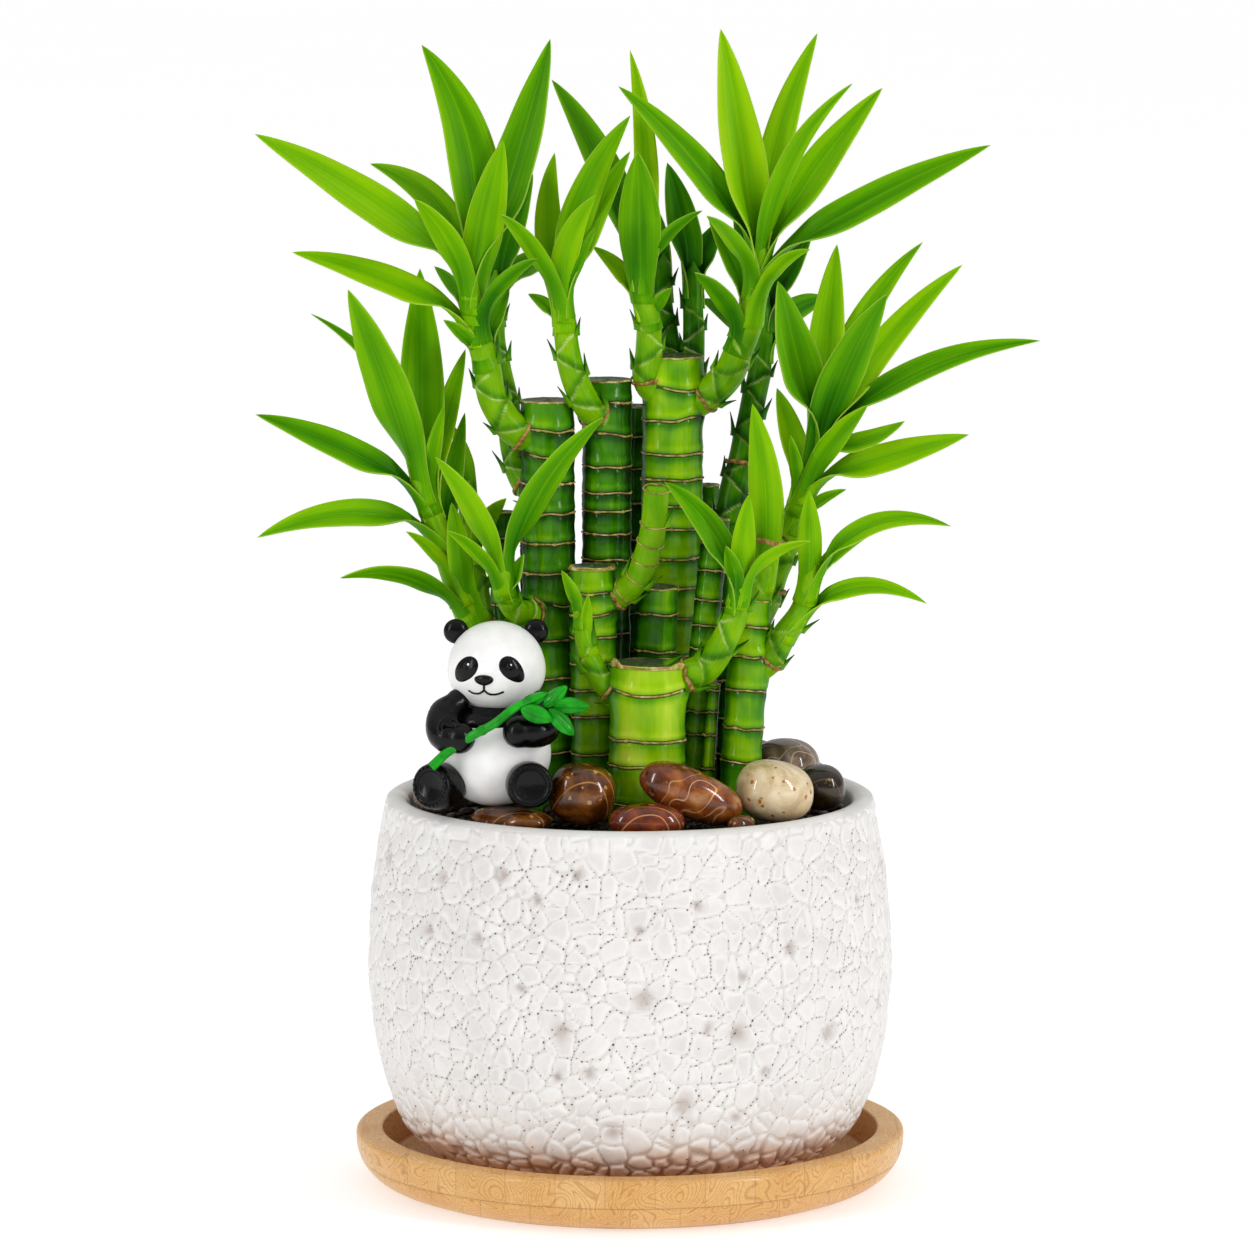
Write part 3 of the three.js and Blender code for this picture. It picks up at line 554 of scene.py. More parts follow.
def crackle(point):
    """Distance in mm along the glaze from a point to the nearest seam between two cells."""
    out = Vector((point.x, point.y, 0)).normalized()
    warped = point + noise.noise_vector(point / 7) * 1.8 + noise.noise_vector(point / 2.4) * 0.35
    gaps, centres = noise.voronoi(warped / CELL)
    seams = []
    for gap, centre in zip(gaps[1:], centres[1:]):
        across = centre - centres[0]
        across -= out * across.dot(out)
        seams.append((gap ** 2 - gaps[0] ** 2) / 2 / max(0.3, across.length))
    return min(seams) * CELL


def pot_side():
    route = Route([(r, 0, z) for r, z in POT_SIDE])
    return [route.at(route.length * i / (POT_ROWS - 1))[0] for i in range(POT_ROWS)]


def round_the_pot(side, angle, z):
    """The point of the pot's side at an angle from +X, and the way out of the glaze there."""
    index = next((i for i, p in enumerate(side) if p.z >= z), len(side) - 1)
    low, high = side[max(index - 1, 0)], side[max(index, 1)]
    r = mix(low.x, high.x, (z - low.z) / max(0.01, high.z - low.z))
    slope = Vector((high.z - low.z, 0, low.x - high.x)).normalized()
    return polar(r, angle, z), polar(slope.x, angle, slope.z)


def glaze_lift(point, spots):
    """How far the glaze stands out or sinks at a point, its seam distance and its crater share."""
    z = point.z
    glazed = smooth(6.6, 8.0, z) * smooth(104.9, 103.9, z)
    seam = crackle(point)
    hollow = ring = 0.0
    for centre, reach in spots:
        if abs(centre.z - z) < reach * 4 and (point - centre).length < reach * 4:
            away = (point - centre).length + noise.noise(point * 0.8) * 0.5
            hollow = max(hollow, smooth(reach * 2.9, 0, away))
            ring = max(ring, math.exp(-((away - reach * 3) / 0.8) ** 2))
    low = smooth(25, 15, z)
    dome = smooth(0.0, 1.1, seam) * (0.5 + 0.85 * low)
    rough = noise.noise(point / 1.7) * 0.12 + noise.noise(point / 10) * 0.4
    lift = glazed * (dome + rough + 0.3 * ring - 1.1 * hollow - 0.7 - 0.45 * low)
    return lift, mix(3.0, seam, glazed), hollow * glazed


def make_pot():
    side = pot_side()
    lip = arc((62.7, 101.9), 3.1, 0, 90, 8) + arc((62.2, 102.0), 3.0, 90, 180, 6)
    outline = ([(0, POT_BASE), (48, POT_BASE)] + [(p.x, p.z) for p in side] + lip
               + [(59.1, 96), (62.6, 76), (63.4, 50), (58, 24), (49, POT_FLOOR), (0, POT_FLOOR)])
    rows = len(outline) - 1
    rng = random.Random(11)
    craters = CRATERS + [(a, rng.uniform(20, 94), rng.uniform(0.8, 1.5)) for a in range(72, 300, 9)]
    spots = [(round_the_pot(side, math.radians(a - 90), z)[0], r) for a, z, r in craters]
    found = {}

    def look(u, v):
        key = (round(u * POT_AROUND), round(v * rows))
        if key not in found:
            r, z = outline[key[1]]
            glazed = 1 < key[1] < POT_ROWS + 6
            lift, seam, hollow = glaze_lift(polar(r, TURN * u, z), spots) if glazed else (0, 3.0, 0)
            found[key] = polar(r + lift, TURN * u, z), seam, hollow
        return found[key]

    def marks(u, v):
        _, seam, hollow = look(u, v)
        return {"seam": seam, "crater": hollow}

    bm = new_bmesh("seam", "crater")
    bend_grid(bm, POT_AROUND, rows, lambda u, v: look(u, v)[0], marks)
    make_piece("pot_crackled", bm, make_crackle_material(), "crackle_ceramic", "pot")
    make_pinholes(side, spots)


def make_pinholes(side, spots):
    """The open pinholes that follow the seams in rows, each some 0.5 mm wide."""
    rng = random.Random(3)
    taken = {}
    whole, bm, count = new_bmesh(), new_bmesh(), 0
    z = 9.0
    while z < 103:
        z += 0.34
        r = round_the_pot(side, 0, z)[0].x
        steps = round(TURN * r / 0.38)
        for step in range(steps):
            angle = TURN * (step + rng.random()) / steps
            point, out = round_the_pot(side, angle, z)
            seam = crackle(point)
            if seam > 0.17 and rng.random() > 0.0025:
                continue
            gap = 1.4 + 1.0 * noise.noise(point / 6) + 0.25 * rng.random()
            key = (math.floor(angle * 70 / 3), math.floor(z / 3))
            around = [(key[0] + i, key[1] + j) for i in (-1, 0, 1) for j in (-1, 0, 1)]
            if any((point - other).length < gap for place in around for other in taken.get(place, ())):
                continue
            taken.setdefault(key, []).append(point)
            lift = glaze_lift(point, spots)[0]
            size = rng.uniform(0.17, 0.32) * (1 + 0.3 * noise.noise(point / 9))
            dot = bmesh.ops.create_circle(bm, cap_ends=True, segments=7, radius=size)["verts"]
            bmesh.ops.transform(bm, matrix=facing(point + out * (lift + 0.07), out), verts=dot)
            count += 1
            if count % 80 == 0:
                bm = pour(bm, whole)
    pour(bm, whole)
    make_piece("pot_pinholes", whole, make_pinhole_material(), "crackle_ceramic", "pot", welded=False)


# ---- Soil and gravel ----

SOIL_EDGE = 99.5
SOIL_CROWN = 101.5
SOIL_REACH = 58.4
SOIL_RINGS = 42
GRAVEL = 760                     # stones on the soil
FIGURINE = (-35, -34)            # where it sits, on a mound


def soil_height(x, y):
    """Height of the soil, which is heaped under the figurine."""
    away = math.hypot(x, y)
    lumps = noise.noise(Vector((x, y, 0)) / 5) * 0.7 + noise.noise(Vector((x, y, 5)) / 2) * 0.3
    mound = 4.5 * smooth(19, 6, math.dist((x, y), FIGURINE))
    return mix(SOIL_CROWN, SOIL_EDGE, smooth(34, SOIL_REACH, away)) - 0.8 + mound + lumps * smooth(58, 54, away)


def make_soil(canes):
    material = make_grained_material("damp_dark_gravel")
    bm = new_bmesh()
    outline = [(0, 15), (47, 15), (55, 24), (59, 36), (62, 62), (60, 85), (SOIL_REACH, 98.6)]
    outline += [(SOIL_REACH * (1 - i / SOIL_RINGS), 100) for i in range(1, SOIL_RINGS + 1)]
    spin_outline(bm, outline, 128)
    for vert in bm.verts:
        if vert.co.z > 99.9:
            vert.co.z = soil_height(vert.co.x, vert.co.y)
    make_piece("soil_bed", bm, material, "soil", "soil")

    bed = new_bmesh()
    rng = random.Random(5)
    laid, bm = 0, new_bmesh()
    while laid < GRAVEL:
        a, away = rng.uniform(0, TURN), 57.4 * math.sqrt(rng.random())
        x, y = away * math.cos(a), away * math.sin(a)
        size = rng.uniform(0.9, 2.1)
        if any(math.hypot(x - cx, y - cy) < r + size for cx, cy, r in canes) or away + size > SOIL_REACH:
            continue
        grain = bmesh.ops.create_uvsphere(bm, u_segments=8, v_segments=5, radius=1)["verts"]
        # The gravel is heaped against the rim.
        heap = rng.uniform(0, 2.6) * smooth(50, 56, away)
        stone = Matrix.Translation((x, y, soil_height(x, y) + heap + size * 0.15)) @ Matrix.Rotation(
            rng.uniform(0, TURN), 4, "Z") @ Matrix.Rotation(rng.uniform(-0.4, 0.4), 4, "X") @ Matrix.Diagonal(
            (size * rng.uniform(0.9, 1.3), size * rng.uniform(0.7, 1), size * rng.uniform(0.55, 0.8), 1))
        bmesh.ops.transform(bm, matrix=stone, verts=grain)
        laid += 1
        if laid % 40 == 0:
            bm = pour(bm, bed)
    make_piece("soil_gravel", bed, material, "soil", "soil", welded=False)


# ---- Pebbles ----

# Stops of the body colour, vein, speck, cell of the veins and spacing of the specks in mm, and how
# strongly veins and specks show.
STONES = {
    "red": ({0.3: "2E0C04", 0.45: "601F08", 0.6: "8A3A10", 0.78: "B26A30"},
            "DFA468", "E0B080", 22, 4.2, 0.8, 0.35),
    "banded": ({0.3: "3A1606", 0.45: "70340F", 0.57: "9C5A22", 0.72: "BE9060"},
               "E6B484", "E0B080", 12, 5, 0.85, 0.2),
    "amber": ({0.3: "221004", 0.45: "4A2408", 0.6: "7A4410", 0.78: "A87030"},
              "C48C4C", "E4BE84", 26, 3.3, 0.85, 0.5),
    "dark": ({0.3: "0A0602", 0.5: "221606", 0.65: "3A280C", 0.8: "5C4318"},
             "80602E", "C8A860", 20, 7, 0.6, 0.5),
    "cream": ({0.3: "A88C68", 0.45: "CDB48A", 0.58: "E0CCA6", 0.76: "F2E6CE"},
              "E8DCC4", "A4600E", 14, 2.9, 0.3, 0.95),
    "grey": ({0.3: "35261A", 0.45: "5A4636", 0.56: "7E6A58", 0.7: "B4A08A"},
             "DCC09A", "C8B090", 11, 9, 0.8, 0.3),
}
# node, stone, centre, radii, tilt about Y, turn about Z.
PEBBLES = [
    ("pebble_front_round", "amber", (-12.5, -38, 110.9), (8.9, 8, 8.4), 10, 0),
    ("pebble_front_flat", "amber", (-31, -40, 104.6), (12, 7, 3), 0, -36),
    ("pebble_front_dark", "red", (4.4, -50, 105.8), (10.1, 5.8, 4.6), 0, 4),
    ("pebble_front_long", "banded", (16, -41, 111.4), (14.6, 7.2, 6.5), 24, 8),
    ("pebble_front_cream", "cream", (38, -32.5, 110.8), (10.4, 8.6, 8.2), 8, 18),
    ("pebble_right_dark", "dark", (50.6, -15, 108.9), (6.4, 6, 6.3), 0, 0),
    ("pebble_right_striped", "grey", (41.6, -1, 111.7), (9, 9.2, 8.2), 8, 70),
    ("pebble_front_chip", "amber", (29, -47, 104.3), (3.8, 2.8, 2.4), 0, 30),
    ("pebble_left_grey", "grey", (-50, -13, 106.5), (7, 7.5, 5), 0, 60),
    ("pebble_left_brown", "amber", (-51, 7, 107), (6, 8, 5.2), 0, 0),
    ("pebble_back_left_cream", "cream", (-43, 29, 107), (7, 6, 5.2), 0, 40),
    ("pebble_back_left_brown", "red", (-27, 41, 108), (10, 7, 6), 0, 30),
    ("pebble_back_grey", "grey", (-5, 47, 107.5), (9, 6.5, 5.5), 0, 5),
    ("pebble_back_cream", "cream", (14, 46, 107), (7.5, 6, 5.2), 0, -10),
    ("pebble_back_brown", "amber", (33, 37, 108), (8.5, 6.5, 6), 0, -40),
    ("pebble_right_brown", "dark", (47, 20, 105.8), (6.2, 8.6, 4.8), 0, -20),
]
BLUNTNESS = 2.35                 # an ellipsoid has 2
SLOTS = {"dark": "dark_stone", "cream": "cream_stone", "grey": "grey_stone"}   # the others are brown


def make_pebbles():
    for name, stone, centre, radii, tilt, turn in PEBBLES:
        bm = new_bmesh()
        verts = bmesh.ops.create_icosphere(bm, subdivisions=5, radius=1)["verts"]
        for vert in verts:
            # A river stone is blunter than an ellipsoid, and never quite even.
            blunt = sum(abs(c) ** BLUNTNESS for c in vert.co) ** (1 / BLUNTNESS)
            vert.co *= 0.975 / blunt + noise.noise(vert.co * 0.9 + Vector(centre)) * 0.05
        bmesh.ops.transform(bm, matrix=pose(centre, tilt, turn, radii), verts=verts)
        material = make_stone_material(f"tumbled_{stone}_stone_{name[7:]}", centre, *STONES[stone])
        make_piece(f"{name}_polished", bm, material, SLOTS.get(stone, "brown_stone"), name)


# ---- Canes ----
# A cane has a foot (x, y), a top (x, y, z), a radius, its node heights, and its shoots. A shoot
# has its thick and thin radius, its route, and its leaves: where on the shoot from 0 to 1, the
# tip, the width, and how far it arches upwards and then sideways, as shares of its length.

CANES = {
    "cane_front": Cane((3, -22), (5, -20, 143), 9.9, (135, 123, 116), [
        Shoot((4.6, 2.8), [(10, -20, 138), (16, -21, 140), (20, -22, 142), (24, -24, 148), (28, -25, 157),
            (29, -26, 165)], [(0.94, (9, -20, 191), 7.2, 0.1), (0.97, (31, -31, 189), 5.9, 0.03),
            (0.97, (47, -34, 177), 3.4, 0.12), (0.95, (25, -36, 176), 4, 0.03)]),
        Shoot((3.8, 2), [(-1, -20, 134), (-7, -21, 138), (-10, -22, 143), (-12, -22, 149), (-13, -22, 157)],
            [(0.96, (-18, -24, 168), 3.4, 0.05), (0.7, (-11, -27, 162), 3, 0.03), (0.9, (-15, -16, 164), 3, 0.03)]),
    ]),
    "cane_front_left": Cane((-9, -7), (-10, -6, 167), 5.9, (160, 154, 148, 141, 134, 127), [
        Shoot((3.6, 3.4), [(-8, -6, 157), (-3, -7, 159), (2, -9, 164), (4, -10, 169), (6, -11, 177), (7, -11, 188)],
            []),
    ]),
    "cane_tall_left": Cane((-21, 4), (-22, 5, 210), 7, (202, 195, 188, 180, 172, 164, 155, 146), [
        Shoot((4.6, 2.6), [(-22, 4, 199), (-30, 2, 202), (-36, 0, 210), (-38, -2, 220), (-41, -4, 231),
            (-42, -5, 239), (-42, -6, 248)], [(0.93, (-98, -16, 282), 10.1, 0.03),
            (0.97, (-69, 14, 272), 7.5, 0.13, 0.04), (0.93, (-55, 6, 304), 12.8, 0.1, 0.06),
            (0.86, (-56, -30, 266), 6.7, 0.06, -0.01), (0.89, (-21, -2, 306), 11.4, -0.01, 0.01),
            (0.81, (-33, -26, 281), 9.6, 0.05, -0.01), (0.71, (-89, -4, 250), 7.5, 0.05),
            (0.72, (-24, -24, 250), 4, 0.1, -0.03), (0.59, (-32, 8, 239), 4.3, 0.05),
            (0.56, (-49, -14, 233), 3.7, 0.05), (0.77, (-52, 10, 245), 3.7, 0.05)]),
        Shoot((3.8, 2.4), [(-23, 6, 183), (-28, 10, 187), (-31, 13, 195), (-32, 15, 202), (-33, 17, 209),
            (-36, 20, 224), (-36, 22, 240)], [(0.97, (-26, 30, 268), 6.9, 0.04), (0.89, (-35, 36, 252), 5.3, 0.04),
            (0.89, (-50, 44, 256), 6.4, 0.06), (0.96, (-19, 46, 245), 6.4, 0.08)]),
        Shoot((4, 2.6), [(-22, 3, 155), (-27, -3, 154), (-30, -8, 155), (-33, -12, 160), (-34, -14, 167)],
            [(0.97, (-51, -24, 198), 6.4, 0.06), (0.93, (-7, -20, 208), 7.5, 0.08),
            (0.87, (-48, -28, 179), 3.7, 0.06), (0.74, (-28, -13, 171), 3.7, 0.03)]),
    ]),
    "cane_tall_middle": Cane((-7, 10), (-6, 10, 215), 6.4, (209, 200, 192, 185, 180, 174, 167), [
        Shoot((4.3, 2.6), [(-7, 9, 204), (-11, 2, 208.5), (-15, 0, 217), (-17, 0, 227), (-18, 0, 239)],
            [(0.97, (0, -4, 286), 8.8, 0.08, 0.01), (0.93, (-20, 14, 275), 7, 0.02, -0.07),
            (0.89, (-9, -16, 266), 6.7, 0.09, 0.06), (0.95, (-34, -28, 262), 4.8, 0.08, 0.02),
            (0.98, (0, 5, 276), 6.9, 0.04), (0.96, (-9, -8, 257), 3.7, 0.05), (0.81, (-27, 6, 238), 3.7, 0.08)]),
    ]),
    "cane_tall_right": Cane((10.5, 14), (11.5, 14, 221), 8, (212, 204, 195, 188, 181, 175, 167, 159, 151), [
        Shoot((4.3, 2.6), [(11, 13, 209), (5, 10, 214), (5, 8, 223), (5, 7, 231), (3, 6, 238), (3, 6, 246)],
            [(0.97, (-21, 36, 293), 8.5, 0.06, 0.01), (0.93, (0, 18, 302), 6.1, 0.04, 0.04),
            (0.89, (2, -12, 277), 10.4, 0.04), (0.94, (19, -4, 261), 3.5, 0.1), (0.76, (-10, 14, 250), 4.5, 0.08),
            (0.64, (11, 2, 240), 3.5, 0.08)]),
        Shoot((4.8, 2.7), [(16, 13, 208), (21, 12, 211), (26, 10, 216), (29, 8, 223), (32, 7, 231), (33, 6, 238),
            (35, 6, 250)], [(0.97, (-3, 7, 293), 8.3, 0.05), (0.93, (24, 10, 308), 11.4, 0.01),
            (0.89, (50, 26, 306), 8.3, 0.06, -0.02), (0.84, (58, -14, 295), 5.5, 0.12),
            (0.95, (67, 16, 292), 9.4, 0.04), (0.9, (95, 0, 278), 8.5, 0.03), (0.7, (47, -20, 252), 3.7, 0.1),
            (0.84, (20, -22, 261), 4.5, 0.06), (0.7, (21, 18, 257), 5.3, 0.05), (0.52, (17, -8, 245), 5.3, 0.08)]),
        Shoot((3.4, 2.4), [(16, 18, 210), (17, 23, 221), (17, 25, 231), (17, 26, 242)],
            [(0.97, (10, 32, 271), 8.3, 0.03), (0.93, (24, 34, 255), 5.9, 0.05), (0.89, (16, 50, 256), 6.4, 0.08)]),
        Shoot((3.2, 2.2), [(12, 18, 212), (11, 25, 221), (9, 28, 233), (9, 30, 244)],
            [(0.97, (3, 44, 263), 5.9, 0.05), (0.87, (6, 52, 255), 5.9, 0.06)]),
    ]),
    "cane_back": Cane((1, 28), (1, 28, 206), 4.8, (198, 189, 180), []),
    "cane_middle": Cane((3, 0.2), (7.4, -2.4, 161), 5.4, (154, 144, 135), []),
    "cane_slim": Cane((10.5, -8), (23, 0, 179), 3.5, (173, 166, 158, 151, 145, 136, 128, 122), []),
    "cane_thin": Cane((16.5, -14), (22.2, -9.7, 136), 1.7, (134.5, 128.5, 122.5, 113.5), []),
    "cane_back_right": Cane((21, 30), (21.3, 30, 184.5), 2.8, (178, 170), []),
    "cane_right": Cane((27, 18), (27, 17, 177.5), 3.7, (171, 163), [
        Shoot((4.2, 2.6), [(27, 17, 175), (27.5, 18, 182), (30, 20, 192), (33, 23, 207), (35, 25, 217),
            (36, 28, 233)], [(0.97, (49, 34, 252), 6.4, 0.03), (0.93, (28, 44, 260), 6.4, 0.04),
            (0.84, (54, 48, 233), 6.4, 0.1), (0.8, (19, 46, 233), 5.3, 0.08)]),
    ]),
    "cane_far_right": Cane((25.5, -13), (32.3, -12, 159), 5.2, (152, 144, 135, 125, 116), [
        Shoot((4.4, 3), [(33, -12, 152), (34, -12, 159), (35, -13, 163), (36, -14, 168)],
            [(0.97, (32, -24, 212), 8.5, 0.03, -0.03)]),
        Shoot((4.3, 2.6), [(33, -12, 153), (36, -9, 159), (38, -8, 165), (41, -7, 172), (44, -6, 180), (46, -6, 187),
            (48, -6, 194), (51, -6, 203)], [(0.97, (39, -6, 242.5), 11.4, 0, -0.01),
            (0.97, (55, 10, 251), 9.1, 0.02, -0.01), (0.93, (78, 16, 251), 6.9, 0.08, -0.03),
            (0.89, (88, 4, 246), 7.8, 0.06), (0.87, (67, -26, 241), 10.6, 0.05), (0.95, (108, -8, 227), 6.5, 0.1),
            (0.91, (72, -20, 207), 4.8, -0.06), (0.73, (89, -16, 203), 7.7, 0.01), (0.69, (62, -28, 212), 6.1, 0.06),
            (0.72, (39, 6, 213), 6.4, 0.04), (0.65, (42, -16, 203), 3.5, 0.04), (0.54, (57, -12, 188), 3.2, 0.08)]),
        Shoot((4, 2.6), [(32, -12, 139), (37, -13, 143), (41, -15, 150), (45, -16, 156), (48, -18, 166)],
            [(0.97, (84, -26, 180), 5.3, 0.2), (0.59, (78, -22, 159), 4.8, 0.2), (0.93, (47, -22, 189), 6.1, 0.03),
            (0.97, (63, -8, 175), 3.7, 0.1)]),
    ]),
    "cane_back_left": Cane((-34, 20), (-34.3, 21, 178.2), 3.2, (171, 163), []),
    "cane_left": Cane((-25, 17), (-25, 17, 176), 4.3, (169, 161), []),
    "cane_far_left": Cane((-36, 4), (-35, 4, 146), 5.4, (139, 131), [
        Shoot((5, 2.6), [(-36, 4, 141), (-40, 3, 148), (-43, 2, 154), (-46, 1, 162), (-50, 0, 173), (-53, -1, 181),
            (-56, -2, 190)], [(0.97, (-74, -14, 241), 11.4, 0.02, 0.01), (0.93, (-56, 16, 244), 11.2, 0.03),
            (0.92, (-99, -4, 207), 7.5, 0.04), (0.72, (-98, -18, 176), 7.2, 0.11, -0.01),
            (0.23, (-76, -24, 166), 5.3, 0.13), (0.89, (-85, 14, 232), 4, 0.14, 0.04),
            (0.88, (-44, 20, 222), 6.1, 0.04), (0.91, (-49, -10, 210), 3.7, 0.04), (0.64, (-44, 10, 206), 5.3, 0.03),
            (0.31, (-47, -16, 185), 6.1, 0.03), (0.42, (-59, -14, 177), 3.7, 0.08)]),
        Shoot((3.2, 2.2), [(-36, 6, 142), (-39, 9, 150), (-41, 12, 161), (-43, 15, 174), (-43, 17, 184)],
            [(0.97, (-47, 28, 200), 5.3, 0.04), (0.9, (-57, 24, 191), 5.3, 0.1), (0.64, (-33, 10, 183), 5.3, 0.08)]),
    ]),
}

CANE_FOOT = 55
RING_SPACING = 10
SHEATH_SPACING = 5.8
SMOOTH_SHOOT_BRACTS = [(8.5, math.pi), (12, 0.2), (13, math.pi + 0.3), (29, math.pi)]
STEM_AROUND = 36
FAR = 20.0                       # no sheath edge is near
# Canes at the back stand in the shade of the others.
CANE_TONE = {"cane_front": 0.78, "cane_front_left": 0.56, "cane_tall_left": 0.36, "cane_tall_middle": 0.33,
             "cane_tall_right": 0.6, "cane_far_right": 0.62, "cane_slim": 0.5, "cane_thin": 0.6, "cane_middle": 0.45}
BACK_TONE = 0.26


def ring_heights(cane):
    heights = list(cane.rings)
    while heights[-1] - RING_SPACING > SOIL_CROWN + 1:
        heights.append(heights[-1] - RING_SPACING)
    return heights


def lean(cane):
    """The place of an upright cane, and its length."""
    foot = Vector((*cane.foot, CANE_FOOT))
    axis = Vector(cane.top) - foot
    return Matrix.Translation(foot) @ UP.rotation_difference(axis).to_matrix().to_4x4(), axis.length


def shoot_roots(cane):
    """Angle and height at which each shoot leaves the cane."""
    roots = []
    for shoot in cane.shoots:
        route = Route(shoot.route)
        out = next((d for d in range(60) if away_from(cane, route.at(d / 2)[0]) > cane.radius), 0) / 2
        point = route.at(out)[0]
        roots.append((math.atan2(point.y - cane.top[1], point.x - cane.top[0]), point.z, out))
    return roots


def away_from(cane, point):
    place, _ = lean(cane)
    local = place.inverted() @ point
    return math.hypot(local.x, local.y)


def ring_wave(cane, roots, height, angle):
    """How far a node ring strays from level at an angle: it lifts towards the shoots above it."""
    wave = noise.noise(polar(1.6, angle, height * 0.7 + cane.radius)) * 0.5
    for root, z, _ in roots:
        if -1 < z - height < 7:
            wave += 1.5 * max(0.0, math.cos(angle - root)) ** 2
    return wave


def make_culm(name, cane, roots, material):
    place, length = lean(cane)
    heights = ring_heights(cane)
    around = 56 if cane.radius > 5 else 36
    tone = CANE_TONE.get(name, BACK_TONE)

    def ring_gap(angle, z):
        near = min(heights, key=lambda h: abs(h - z))
        return z - near - ring_wave(cane, roots, near, angle)

    rows = round(length / 0.8)
    # The sawn face is a little hollow, with a dried nub at its heart.
    face = [(0.97, 0), (0.9, -0.1), (0.75, -0.35), (0.5, -0.4), (0.3, -0.3), (0.12, -0.1), (0.05, 0.35), (0, 0.45)]

    def bend(u, v):
        angle, row = TURN * u, round(v * (rows + len(face)))
        z = length * min(1, row / rows)
        gap = abs(ring_gap(angle, z + CANE_FOOT))
        swell = 0.28 * smooth(4.5, 0.6, gap) - 0.3 * math.exp(-(gap / 0.5) ** 2)
        uneven = noise.noise(polar(2, angle, z / 14 + cane.radius * 3)) * 0.25
        r = cane.radius + (swell + uneven) * min(1, cane.radius / 5)
        for root, height, _ in roots:
            # The skin draws out into each shoot.
            near = math.remainder(angle - root, TURN) * cane.radius / 4.5
            r += 1.3 * math.exp(-near ** 2 - ((z + CANE_FOOT - height + 1) / 4.5) ** 2)
        if row > rows:
            share, lift = face[row - rows - 1]
            r, z = r * share, z + lift
        return place @ polar(r, angle, z)

    def marks(u, v):
        row = round(v * (rows + len(face)))
        height = length * min(1, row / rows) + CANE_FOOT
        gap = ring_gap(TURN * u, height)
        # Painted shade: the skin is darker towards its sides and back than at its front, and darker at its foot near
        # the soil. The rise mark is painted shade under each node ring and painted light above it.
        shaded = tone - 0.2 * smooth(120, 103, height) + mix(-0.27, 0.03, smooth(0.25, 0.95, -math.sin(TURN * u)))
        return {"ring": abs(gap), "rise": gap * smooth(3, 0.6, abs(gap)), "tone": shaded, "cut": float(row > rows)}

    bm = new_bmesh("ring", "rise", "tone", "cut")
    close_tube(bm, bend_grid(bm, around, rows + len(face), bend, marks))
    make_piece(f"{name}_culm", bm, material, "plant", name)


def bend_hoop(bm, around, section, path):
    """A closed hoop. path(angle) gives a point, the way out, the way up, and the section's two radii."""
    def bend(u, v):
        point, out, up, wide, tall = path(TURN * v)
        return point + swing(out * wide, up * tall, TURN * u)

    weld(bm, bend_grid(bm, section, around, bend))


def make_rings(name, cane, roots, material):
    """Node rings with the stubs of dried roots, and the sawn top."""
    place, length = lean(cane)
    turn = place.to_3x3()
    rng = random.Random(round(cane.radius * 97 + cane.top[2]))
    bm = new_bmesh()
    bend_hoop(bm, 96, 8, lambda angle: (
        place @ polar(cane.radius - 0.02, angle, length - 0.25 + 0.25 * noise.noise(polar(2, angle, length))),
        turn @ polar(1, angle), turn @ UP, 0.24, 0.26))
    for height in ring_heights(cane):
        stubs = [(rng.uniform(0, TURN), rng.uniform(0.5, 1.2)) for _ in range(round(cane.radius * 0.9) + 1)]
        size = 0.17 + 0.008 * cane.radius

        def path(angle):
            out = polar(1, angle)
            stub = max((grown * math.exp(-((math.remainder(angle - a, TURN)) * cane.radius / 0.45) ** 2)
                        for a, grown in stubs), default=0)
            thick = size * (1 + 0.3 * noise.noise(Vector((angle * 3, height, 0)))) * (1 + stub)
            z = height - CANE_FOOT + ring_wave(cane, roots, height, angle) - 0.3 * stub * size
            return place @ (out * (cane.radius + 0.12) + UP * z), turn @ out, turn @ UP, thick * 1.15, thick

        bend_hoop(bm, 120 if cane.radius > 5 else 72, 8, path)
    if name in ("cane_front", "cane_front_left"):
        add_tatter(bm, cane)
    if name == "cane_front_left":
        add_shoot_rings(bm, cane.shoots[0])
    make_piece(f"{name}_rings", bm, material, "plant", name, welded=False)


# ---- Shoots ----

def stem_frame(tangent):
    side = tangent.cross(BACK).normalized()
    return side, side.cross(tangent)


def sheath_heights(length, bare):
    """Heights of the sheath edges up the bare part of a shoot."""
    return [1.5 + SHEATH_SPACING * i for i in range(math.ceil((length * bare - 1.5) / SHEATH_SPACING))]


